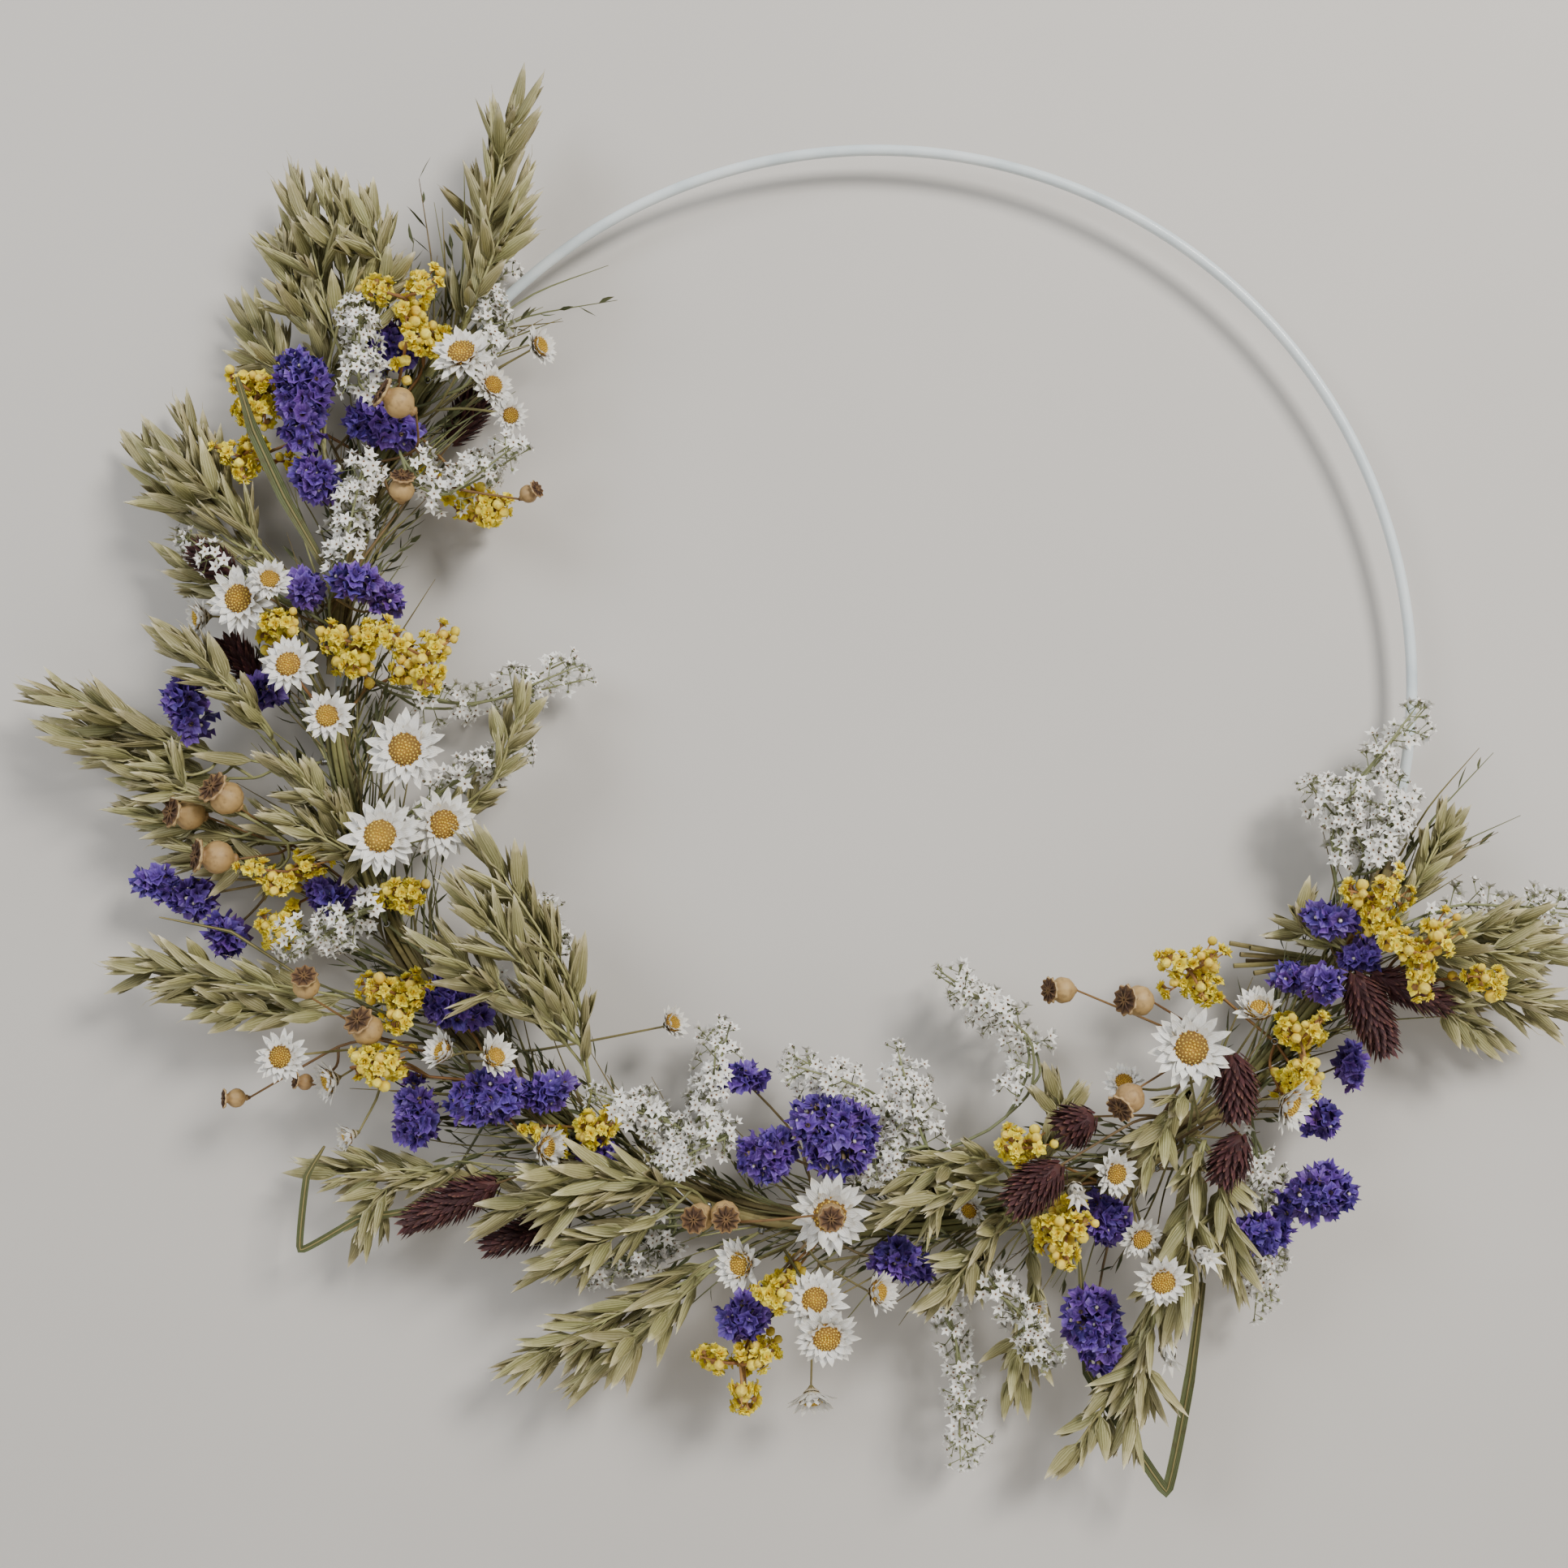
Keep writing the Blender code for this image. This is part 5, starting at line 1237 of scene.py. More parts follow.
def fine_daisy(work, head):
    """Three layers of bracts, a back of shorter ones, and a granular disc with a darker rim."""
    rng, axis, radius, close = work.rng, head.axis, head.radius, head.lean
    layers = ((15, 1.0, -4, 0.0), (14, 0.9, 7, 0.5), (12, 0.72, 20, 1.0))
    for count, reach, lift, rise in layers:
        for out in round_spots(axis, count, head.roll + rng.random()):
            tilt = min(close + math.radians(lift + rng.uniform(-7, 7)), math.radians(84))
            out = unit(out + cross(axis, out) * rng.uniform(-0.1, 0.1))
            way = out * math.cos(tilt) + axis * math.sin(tilt)
            face = axis * math.cos(tilt) - out * math.sin(tilt)
            base = head.centre + out * (radius * 0.2) + axis * (rise - 0.6)
            size = radius * (reach * rng.uniform(0.9, 1.04) - 0.2)
            wide = radius * rng.uniform(0.34, 0.43)
            sheet(
                work, "daisy_bract", base, way, face, size, wide, broad, 5, 2, cup=0.35,
                curl=rng.uniform(-0.12, 0.2),
            )
    for count, reach, depth in ((9, 0.34, 2.4), (9, 0.48, 1.6), (8, 0.62, 0.8)):
        for out in round_spots(axis, count, rng.random() * 6):
            base = head.centre - axis * depth + out * radius * 0.1
            way = out * math.cos(close * 0.8) + axis * (math.sin(close * 0.8) + 0.25)
            sheet(
                work, "daisy_back", base, way, axis, radius * (reach - 0.08), radius * 0.34, pointed, 3, 2,
                cup=0.5,
            )
    tube(
        work, "daisy_stem", [head.base - axis * 0.2, head.centre - axis * 1.6, head.centre - axis * 0.3],
        [0.6, radius * 0.16, radius * 0.22], 8,
    )
    heart = head.centre + axis * (0.6 + radius * 0.1 * math.sin(close))
    dome = radius * 0.42
    profile = [
        (0.0, dome), (dome * 0.28, dome * 0.9), (dome * 0.45, dome * 0.6), (dome * 0.4, dome * 0.25),
        (dome * 0.36, 0.05),
    ]
    lathe(work, "daisy_rim", heart, axis, profile, 14)
    u, v = square_to(axis)
    for i in range(DISC_FLORETS):
        far, turn = math.sqrt((i + 0.5) / DISC_FLORETS) * dome, i * GOLDEN_TURN
        spot = heart + (u * math.cos(turn) + v * math.sin(turn)) * far
        high = dome * (0.46 - 0.34 * (far / dome) ** 3 - 0.1 * (1 - far / dome))
        lean = unit(axis + (spot - heart) * 0.22 / dome)
        look = "daisy_rim" if far > dome * 0.84 else "daisy_disc"
        thick = dome * rng.uniform(0.062, 0.08)
        lathe(work, look, spot + axis * high, lean, [(-0.3, thick), (0.35, thick * 1.1), (0.8, 0.03)], 5)


def fine_bud(work, head):
    """A closed flower: papery bracts in layers, closed into an egg shape."""
    rng, axis, radius = work.rng, head.axis, head.radius
    base = head.centre - axis * radius * 0.95
    layers = (
        (8, 0.9, 46, "daisy_back"), (8, 1.35, 34, "daisy_bract"), (8, 1.8, 22, "daisy_bract"),
        (7, 2.1, 12, "daisy_bract"),
    )
    for row, (count, reach, tilt, look) in enumerate(layers):
        for out in round_spots(axis, count, rng.random() * 6):
            angle = math.radians(tilt)
            way = out * math.sin(angle) + axis * math.cos(angle)
            sheet(
                work, look, base + out * radius * 0.12 + axis * row * 0.1, way, axis - out, radius * reach,
                radius * 0.72, pointed, 5, 2, cup=0.55, curl=0.2 + 0.16 * row, bow=radius * 0.16,
            )
    tube(work, "daisy_stem", [head.base - axis * 0.2, base + axis * 0.8], [0.6, radius * 0.3], 8)


def fine_pod(work, head):
    """A ribbed body on a swollen joint, under a scalloped crown with a ridge for each ray."""
    rng, axis, r, centre = work.rng, head.axis, head.radius, head.centre
    body = [
        (-1.34, 0.12), (-1.24, 0.3), (-1.12, 0.34), (-1.04, 0.27), (-0.95, 0.42), (-0.75, 0.72),
        (-0.45, 0.92), (-0.1, 0.99), (0.22, 0.92), (0.5, 0.74), (0.72, 0.52), (0.88, 0.44), (1.0, 0.5),
    ]
    lathe(work, "pod", centre, axis, [(a * r, b * r) for a, b in body], 22, (11, 0.022))
    rays = rng.choice((9, 10, 11))
    turn = np.arange(rays * 4) * math.tau / (rays * 4)
    u, v = square_to(axis)
    spokes = u * np.cos(turn)[:, None] + v * np.sin(turn)[:, None]
    wave = np.cos(turn * rays)
    rows = []
    for reach, rise in (
        (0.44, 0.93), (0.86, 1.0), (0.98, 1.09), (0.9, 1.2), (0.6, 1.17), (0.3, 1.19), (0.03, 1.2),
    ):
        far = reach * (1 + 0.09 * wave * (reach > 0.8)) * r
        high = (rise + 0.05 * wave * (0.2 < reach < 0.95) * (rise > 1.1)) * r
        rows.append(centre + spokes * far[:, None] + axis * (np.zeros(len(turn)) + high)[:, None])
    work.grid(np.array(rows[:4]), "pod_rim", True)
    work.grid(np.array(rows[3:]), "pod_crown", True)
    ridge = ((0.08, 1.24), (0.4, 1.26), (0.72, 1.25), (0.94, 1.2))
    for i in range(rays):
        out = u * math.cos(math.tau * i / rays) + v * math.sin(math.tau * i / rays)
        path = [centre + out * r * reach + axis * r * rise for reach, rise in ridge]
        tube(work, "pod_crown", path, [0.05 * r, 0.075 * r, 0.06 * r, 0.03 * r], 5)
    tube(work, "pod_stem", [head.base - axis * 0.3, centre - axis * r * 1.3], [0.62, 0.8], 8)


def fine_brush(work, head):
    """Rows of keeled pointed scales over a slim core."""
    rng, axis, r = work.rng, head.axis, head.radius
    length = head.profile[-1][0]
    shape = np.array(((0.0, 0.3), (0.1, 0.66), (0.3, 0.9), (0.55, 0.86), (0.8, 0.55), (1.0, 0.16)))
    lathe(work, "brush", head.centre, axis, [(a * length * 0.94, b * r * 0.72) for a, b in shape], 12)
    rows = max(int(length / 1.75), 7)
    for row in range(rows):
        at = (row - 0.7) / rows * 0.94
        out_at = float(np.interp(at, shape[:, 0], shape[:, 1])) * r
        count = max(int(out_at * 2.3), 5)
        for out in round_spots(axis, count, row * 0.5 + rng.random() * 0.3):
            base = head.centre + axis * (at * length) + out * out_at * 0.66
            tilt = 0.75 * (1 - at) ** 1.5 + 0.34 + rng.uniform(-0.12, 0.2)
            way = axis + out * tilt
            sheet(work, "brush", base, way, -out, rng.uniform(4.8, 6.4), 1.9, lance, 3, 2, wrap=1.0, bow=0.3)
    tube(work, "brush_stem", [head.base - axis * 0.2, head.centre + axis * length * 0.1], [0.55, 0.9], 8)


def floret(work, mouth, axis, radius, tail):
    """A ruffled papery funnel on a ribbed tube."""
    rng = work.rng
    u, v = square_to(axis)
    turn = np.arange(13) * math.tau / 13
    spokes = u * np.cos(turn)[:, None] + v * np.sin(turn)[:, None]
    phase = rng.random() * 6
    rows = []
    for share, back in ((0.14, -3.0), (0.3, -1.7), (0.62, -0.7), (1.0, 0.0)):
        far = radius * share * (1 + 0.2 * share * np.sin(turn * 5 + phase))
        wide_waves = 1.25 * share**2 * np.sin(turn * 5 + phase + 1.2)
        high = back + wide_waves + 0.6 * share**2 * np.sin(turn * 7 + phase * 2)
        rows.append(mouth + spokes * far[:, None] + axis * high[:, None])
    work.grid(np.array(rows), "statice", True)
    tube(work, "statice_base", [tail, mouth - axis * 3.6, mouth - axis * 1.5], [0.35, 0.9, 0.75], 5)
    if rng.random() < 0.2:
        lathe(work, "statice_heart", mouth - axis * 1.6, axis, [(0, 0.5), (0.8, 0.75), (1.2, 0.1)], 6)


def fine_cluster(work, head):
    """A statice head: its core and its florets, each on a tube from the core."""
    tube(
        work, "statice_base", [head.base - vec(0, 0.4, 0), head.centre, head.centre - vec(0, 2, 0)],
        [0.6, 1.5, 0.8], 8,
    )
    for mouth, axis, radius in head.florets:
        foot = head.centre + (mouth - head.centre) * vec(0.3, 0, 0.3) + vec(0, 1.5, 0)
        floret(work, mouth, axis, radius, foot)


def fine_spikelet(work, sprout):
    """Two papery glumes with pointed tips round one or two slimmer husks."""
    rng, axis, length, half = work.rng, sprout.axis, sprout.length, sprout.half
    foot = sprout.base + axis * length * 0.1
    tube(work, "oat_stem", [sprout.root, sprout.base + axis * 0.8, foot + axis * 0.6], [0.3, 0.26, 0.34], 4)
    u, v = square_to(axis)
    turn = rng.random() * math.pi
    out = u * math.cos(turn) + v * math.sin(turn)
    spread_at = rng.uniform(0.03, 0.11)
    for side, reach in ((1, 0.92), (-1, 0.84)):
        sheet(
            work, "oat_husk", foot, axis + out * side * spread_at, -out * side,
            length * reach * rng.uniform(0.92, 1.02), half * 2.3, lance, 5, 3, wrap=1.35, curl=-0.03,
            bow=half * 0.5,
        )
    for side in (1, -1)[: rng.choice((1, 2, 2))]:
        sheet(
            work, "oat_inner", foot + axis * 1.2, axis + out * side * spread_at * 0.3, out * -side,
            length * rng.uniform(0.62, 0.78), half * 1.5, lance, 4, 2, wrap=1.3, bow=half * 0.2,
        )
    if rng.random() < 0.25:
        tip = foot + axis * length * 0.55 + out * half * 0.3
        tube(
            work, "oat_inner", [tip, tip + axis * length * 0.3, tip + axis * length * 0.42 + out * 1.6],
            [0.14, 0.1, 0.05], 3,
        )


def fine_bloom(work, sprout):
    """A small double flower, or a round bud."""
    rng, axis, half = work.rng, sprout.axis, sprout.half
    heart = sprout.base + axis * sprout.length * 0.5
    tube(
        work, "yellow_twig", [sprout.root, sprout.base + axis * 0.8, heart - axis * half * 0.55],
        [0.28, 0.26, 0.34], 4,
    )
    if rng.random() < 0.3:
        r = half * rng.uniform(0.62, 0.8)
        lathe(
            work, "yellow_bud", heart, axis,
            [(-r, 0.15 * r), (-0.7 * r, 0.7 * r), (0, r), (0.7 * r, 0.72 * r), (r, 0.03)], 8, (4, 0.06),
        )
        return
    lathe(work, "yellow_twig", heart, axis, [(-half * 0.7, 0.3), (-half * 0.2, half * 0.45)], 6)
    for count, tilt, reach in ((6, 8, 1.12), (5, 36, 1.05), (4, 62, 0.95)):
        for out in round_spots(axis, count, rng.random() * 6):
            angle = math.radians(tilt + rng.uniform(-12, 12))
            way = out * math.cos(angle) + axis * math.sin(angle)
            face = axis * math.cos(angle) - out * math.sin(angle)
            sheet(
                work, "yellow", heart - axis * 0.5, way, face, half * reach * rng.uniform(0.85, 1.1),
                half * 1.0, rounded, 3, 2, cup=0.4, curl=rng.uniform(-0.2, 0.25), ruffle=0.35,
            )


def fine_star(work, sprout):
    """Two to four tiny flowers at the end of a short branch."""
    rng, axis = work.rng, sprout.axis
    mouth = sprout.base + axis * sprout.length
    tube(work, "star_twig", [sprout.root, sprout.base + axis * 0.8, mouth - axis * 1.0], [0.24, 0.2, 0.2], 4)
    star_at(work, mouth, axis, sprout.half)
    for out in round_spots(axis, 3, rng.random() * 6)[: rng.choice((1, 2, 3))]:
        spot = mouth + out * rng.uniform(3.0, 4.2) - axis * rng.uniform(-0.6, 2.4)
        tube(work, "star_twig", [mouth - axis * 3.0, spot - unit(axis + out * 0.5) * 0.9], [0.18, 0.18], 3)
        star_at(work, spot, unit(axis + out * 0.5), sprout.half * rng.uniform(0.85, 1.0))


def star_at(work, mouth, axis, half):
    """Five pointed papery petals round a dark eye."""
    rng = work.rng
    lathe(work, "star_twig", mouth, axis, [(-1.3, 0.2), (-0.4, 0.65)], 4)
    open_by = rng.uniform(0.0, 0.5)
    for out in round_spots(axis, 5, rng.random() * 6):
        way = out + axis * open_by
        sheet(
            work, "star", mouth - axis * 0.15, way, axis, half * rng.uniform(0.9, 1.12), half * 0.72,
            pointed, 2, 1, curl=0.12,
        )
    lathe(work, "star_eye", mouth, axis, [(0.0, 0.42), (0.5, 0.03)], 5)


FINE_SPROUTS = {"spikelet": fine_spikelet, "bloom": fine_bloom, "star": fine_star}
TWIGS = {"spikelet": "oat_stem", "bloom": "yellow_twig", "star": "star_twig"}


def stem_look(stem, name):
    if stem.sprouts:
        return TWIGS[stem.sprouts[0].kind]
    for start, look in (
        ("oats", "oat_stem"), ("daisies", "daisy_stem"), ("pods", "pod_stem"), ("canary", "brush_stem"),
        ("statice", "statice_base"), ("yellow", "yellow_twig"), ("star", "star_twig"),
    ):
        if name.startswith(start):
            return look
    return "leaf"


def fine_stem(work, stem, name):
    """A stem with its head and its sprouts. Each sprout's stalk starts inside the stem."""
    look = stem_look(stem, name)
    radii = [max(r, 0.42) * 0.95 for r in stem.radii]
    path = smooth(stem.points, 4)
    tube(work, look, path, [radii[0] * 0.8, 0.5, 0.55, 0.6], 6)
    if isinstance(stem.head, Daisy):
        fine_daisy(work, stem.head)
    elif isinstance(stem.head, Cluster):
        fine_cluster(work, stem.head)
    elif stem.head:
        {"bud": fine_bud, "pod": fine_pod, "brush": fine_brush}[stem.head.kind](work, stem.head)
    for sprout in stem.sprouts:
        sprout.root = nearest(path, sprout.base)
        FINE_SPROUTS[sprout.kind](work, sprout)


def fine_knot(work, knot):
    """Three turns of wire round the gathered stems."""
    u, v = square_to(knot.axis)
    turn = np.linspace(0, 3 * math.tau, 31)
    coil = u * np.cos(turn)[:, None] + v * np.sin(turn)[:, None]
    path = knot.centre + coil * 1.1 + knot.axis * np.linspace(-0.7, 0.9, 31)[:, None]
    tube(work, "wire", path, [0.22], 5)
    tube(work, "bound", [knot.centre - knot.axis * 1.3, knot.centre + knot.axis * 1.2], [1.05, 0.8], 8)


def fine_blade(work, blade):
    """A leaf with a folded midrib and waved edges."""
    path = smooth(blade.points, 8, 4.0)
    count = len(path)
    shares = np.linspace(0, 1, count)
    half = np.interp(shares, np.linspace(0, 1, len(blade.radii)), blade.radii)
    ways = np.gradient(path, axis=0)
    side, rows = blade.wide, []
    u = np.linspace(-1, 1, 7)
    for i, (point, way) in enumerate(zip(path, ways)):
        way = unit(way)
        side = unit(side - way * float(side @ way))
        other = cross(way, side)
        fold = 0.28 * np.abs(u) + 0.1 * np.sin(shares[i] * 26 + u * 2) * u
        rows.append(point + side * (u * half[i])[:, None] + other * (fold * half[i] - 0.1 * half[i])[:, None])
    work.grid(np.array(rows), "leaf")
    tube(work, "leaf_rib", path, [0.25, 0.4], 5)


def fine_run(work, points):
    """Stems laid side by side along a run, each with its own wobble."""
    rng = work.rng
    centre = smooth(points, 8)
    count = len(centre)
    u, v = frames(centre)
    shares = np.linspace(0, 1, count)
    for i in range(13):
        far = STEMS_RADIUS * (0.78 if i < 9 else 0.32)
        start = math.tau * i / 9 if i < 9 else math.tau * i / 4
        turn = start + shares * rng.uniform(-0.9, 0.9) + 0.15 * np.sin(shares * rng.uniform(6, 14) + i)
        reach = far * (1 + 0.07 * np.sin(shares * rng.uniform(8, 20) + i * 2))
        path = centre + u * (np.cos(turn) * reach)[:, None] + v * (np.sin(turn) * reach)[:, None]
        cut = rng.randint(0, 2), count - rng.randint(0, 2)
        thick = rng.uniform(0.85, 1.4)
        tube(work, "bound", path[cut[0] : cut[1]], [thick * 0.95, thick, thick * 1.05, thick], 7)


def fine_hoop(work):
    turn = np.arange(241) * math.tau / 240
    path = np.stack([HOOP_RADIUS * np.cos(turn), 0 * turn, HOOP_Z + HOOP_RADIUS * np.sin(turn)], 1)
    outward = (path - vec(0, 0, HOOP_Z)) / HOOP_RADIUS
    round_it = np.arange(16) * math.tau / 16
    rings = path[:, None] + HOOP_TUBE / 2 * (
        outward[:, None] * np.cos(round_it)[None, :, None]
        + vec(0, 1, 0) * np.sin(round_it)[None, :, None]
    )
    work.grid(rings, "hoop", True)


def fine_wire(work):
    """The wire, close round the hoop and the stems."""
    first, last = RUNS[0][1] + 2, RUNS[-1][2] - 2
    turns = int((last - first) / WIRE_PITCH)
    at = np.linspace(0, turns, turns * 22 + 1)
    angles = np.radians(first + (last - first) * at / turns)
    turn = math.tau * (at + 0.5 / 6)
    top, low = STEMS_LIFT + STEMS_RADIUS + WIRE, -HOOP_TUBE / 2 - WIRE
    lift = (top + low) / 2 + (top - low) / 2 * np.cos(turn)
    wide = 2.9 + (STEMS_RADIUS + WIRE - 2.9) * np.clip((lift - low) / (STEMS_LIFT - low), 0, 1)
    far = HOOP_RADIUS + wide * np.sin(turn)
    path = np.stack([far * np.cos(angles), -lift, HOOP_Z + far * np.sin(angles)], 1)
    tube(work, "wire", path, [0.36], 6)


# More of the small repeats than the plain solids hold, where there is room


class Spot:
    """A ball of room."""

    def __init__(self, centre, radius):
        self.centre, self.radius = centre, radius

    def hull(self):
        return [(self.centre, self.centre, self.radius)]


# For each kind, how many more sprouts a stem is tried for, and half their width in millimetres
MORE_TRIES = {"spikelet": 24, "bloom": 15, "star": 14}
MORE_HALF = {"bloom": 2.8, "star": 3.0}


def add_sprouts(node, stem, rng):
    """More sprouts along a stem, on all its sides, where they find room."""
    kind = stem.sprouts[0].kind
    for _ in range(MORE_TRIES[kind]):
        share = rng.uniform(0.03, 0.94)
        at, way = along(stem.points[: max(len(stem.points) - 2, 2)], share)
        turn = rng.random() * math.tau
        u, v = square_to(way)
        out = u * math.cos(turn) + v * math.sin(turn)
        if kind == "spikelet":
            axis = unit(-way + out * rng.uniform(0.25, 0.5))
            length = stem.sprouts[0].length * rng.uniform(0.85, 1.0)
            new = Sprout(stem, at, axis, kind, length, rng.uniform(1.8, 2.2))
        else:
            length = rng.uniform(4, 10) if kind == "star" else rng.uniform(3.5, 9)
            axis = unit(out - way * rng.uniform(0.1, 0.8) + vec(0, -0.35, 0))
            new = Sprout(stem, at, axis, kind, length, MORE_HALF[kind] * rng.uniform(0.85, 1.1))
        if node.room.crossed(node.number, new, 0.0) or siblings_cross(new, stem.sprouts):
            continue
        stem.sprouts.append(new)
        node.room.add(node.number, [new])


def add_florets(node, head, rng):
    """Florets all over a statice head's oval dome, and a back row round its rim."""
    head.florets = []
    count = int(head.wide * head.high * math.pi / 14) + 6
    rim = int((head.wide + head.high) * 0.55) + 3
    first, second = rng.random() * 6, rng.random() * 6
    for i in range(count + rim):
        share = math.sqrt((i + 0.5) / count) if i < count else 0.98
        turn = i * GOLDEN_TURN if i < count else math.tau * (i - count) / rim
        out = vec(math.cos(turn), 0, math.sin(turn))
        lobed = 0.95 + 0.17 * math.sin(turn * 2 + first) + 0.13 * math.sin(turn * 3 + second)
        flat = vec(out[0] * head.wide, 0, out[2] * head.high) * share * lobed
        lift = 1.2 + 3.6 * (1 - share**2) if i < count else -1.6
        mouth = head.centre + flat - vec(0, lift + rng.uniform(-1.7, 1.7), 0)
        lean = vec(rng.uniform(-0.55, 0.55), 0, rng.uniform(-0.55, 0.55))
        axis = unit(out * share - vec(0, 1 - share * 0.4 if i < count else 0.1, 0) + lean)
        radius = rng.uniform(2.8, 4.0)
        if not node.room.crossed(node.number, Spot(mouth - axis, radius * 0.5), 0.0):
            head.florets.append((mouth, axis, radius))
    node.room.add(node.number, [Spot(mouth, 2.0) for mouth, _, _ in head.florets])


# What a node has in the plans of the other kinds
NO_PLAN = (0, [])


def companions(name, rng):
    """More entries for a node's plan, beside the planned ones, which only the fine model has."""
    found = []
    for entry in OATS.get(name, NO_PLAN)[1] * 2 + STARS.get(name, NO_PLAN)[1] * 2:
        tip_lift, base_lift, count, path = entry
        moved = [(x + rng.uniform(-15, 15), y + rng.uniform(-15, 15)) for x, y in path[:1]]
        moved += [(x + rng.uniform(-8, 8), y + rng.uniform(-8, 8)) for x, y in path[1:]]
        found.append((tip_lift + rng.uniform(-5, 4), base_lift + rng.uniform(-5, 3), max(count, 4), moved))
    for x, y, lift, wide, high, _, _ in YELLOWS.get(name, NO_PLAN)[1] * 2:
        found.append((x + rng.uniform(-8, 8), y + rng.uniform(-8, 8), lift - 2, wide * 0.9, high * 0.9, 3, 4))
    return found


def add_more(node):
    """Florets, companions and more sprouts for one node."""
    rng = random.Random(node.number * 7)
    for stem in [piece for piece in node.pieces if isinstance(piece, Stem)]:
        if isinstance(stem.head, Cluster):
            add_florets(node, stem.head, rng)
    grow = {"oats": grow_oats, "star": grow_stars, "yell": grow_yellow}.get(node.name[:4])
    for entry in companions(node.name, rng):
        grow(node, *entry)
    for stem in [piece for piece in node.pieces if isinstance(piece, Stem) and piece.sprouts]:
        add_sprouts(node, stem, rng)


# Degrees of the hoop between loose stems, and the angle from which on they splay the other way
LOOSE_EVERY = 0.8
LOOSE_TURN_AT = 305


def loose_stems(room, number):
    """Thin stems with narrow leaves that splay from one run of the bound ones."""
    _, first, last = RUNS[number]
    rng = random.Random(900 + number)
    found = []
    for angle in np.arange(first + 1, last - 1, LOOSE_EVERY):
        for side in (1, -1):
            back = -1 if angle < LOOSE_TURN_AT else 1
            turn = math.radians(angle)
            outward = vec(math.cos(turn), 0, math.sin(turn)) * side
            tangent = vec(-math.sin(turn), 0, math.cos(turn)) * back
            start = round_hoop(angle, HOOP_RADIUS + side * 2.5, STEMS_LIFT + rng.uniform(-2, 2.5))
            for _ in range(6):
                splay, rise, length = rng.uniform(0.1, 0.75), rng.uniform(-0.05, 0.35), rng.uniform(24, 62)
                way = unit(tangent + outward * splay - vec(0, rise, 0))
                bend = start + way * length * 0.5 + outward * rng.uniform(-2, 2)
                points = [start, bend, start + way * length + outward * length * 0.1 * rng.uniform(-1, 1.5)]
                stem = Tube([start + way * 8, bend, points[2]], 0.5)
                if not room.crossed(LOOSE_OWNER, stem, 0.4):
                    found.append(points)
                    room.add(LOOSE_OWNER, [stem])
                    break
    return found


def fine_loose(work, points):
    """A loose stem, and on most of them narrow leaves."""
    rng = work.rng
    path = smooth(points, 4)
    look = rng.choice(("oat_stem", "bound", "daisy_stem", "star_twig"))
    tube(work, look, path, [0.5, 0.42, 0.3, 0.12], 5)
    if rng.random() < 0.45:
        return
    for share in np.arange(rng.uniform(0.2, 0.35), 1, rng.uniform(0.11, 0.18)):
        at, way = along(list(path), share)
        turn = rng.random() * math.tau
        u, v = square_to(way)
        out = u * math.cos(turn) + v * math.sin(turn)
        axis = unit(way + out * rng.uniform(0.35, 0.8))
        sheet(
            work, "leaf", at, axis, out, rng.uniform(5, 11), rng.uniform(1.0, 1.9), lance, 3, 2, cup=0.4,
            curl=rng.uniform(-0.2, 0.3),
        )


# Materials. Each reads the place on its own petal, husk or stem: which grid, how far across, how far along


def tone(colour):
    """Linear values from a colour given as it shows on a screen, from 0 to 255."""
    shares = [c / 255 for c in colour]
    return (*(s / 12.92 if s <= 0.04045 else ((s + 0.055) / 1.055) ** 2.4 for s in shares), 1.0)


class Graph:
    """A material's nodes, made and joined in short calls."""

    def __init__(self, name):
        self.material = bpy.data.materials.new(name)
        self.material.use_nodes = True
        self.nodes, self.links = self.material.node_tree.nodes, self.material.node_tree.links
        self.shader = self.nodes["Principled BSDF"]

    def node(self, kind, values=(), **settings):
        made = self.nodes.new(kind)
        for key, value in settings.items():
            setattr(made, key, value)
        for slot, value in values:
            self.put(made.inputs[slot], value)
        return made

    def put(self, socket, value):
        if isinstance(value, bpy.types.NodeSocket):
            self.links.new(value, socket)
        elif isinstance(value, bpy.types.Node):
            self.links.new(value.outputs[0], socket)
        else:
            socket.default_value = value

    def maths(self, operation, *values):
        return self.node("ShaderNodeMath", enumerate(values), operation=operation).outputs[0]

    def mix(self, share, one, two):
        made = self.node("ShaderNodeMix", data_type="RGBA")
        for slot, value in ((0, share), (6, one), (7, two)):
            self.put(made.inputs[slot], value)
        return made.outputs[2]

    def ramp(self, share, stops):
        made = self.node("ShaderNodeValToRGB", [(0, share)])
        points = made.color_ramp.elements
        while len(points) < len(stops):
            points.new(0.5)
        for point, (at, colour) in zip(points, stops):
            point.position, point.color = at, tone(colour)
        return made.outputs[0]


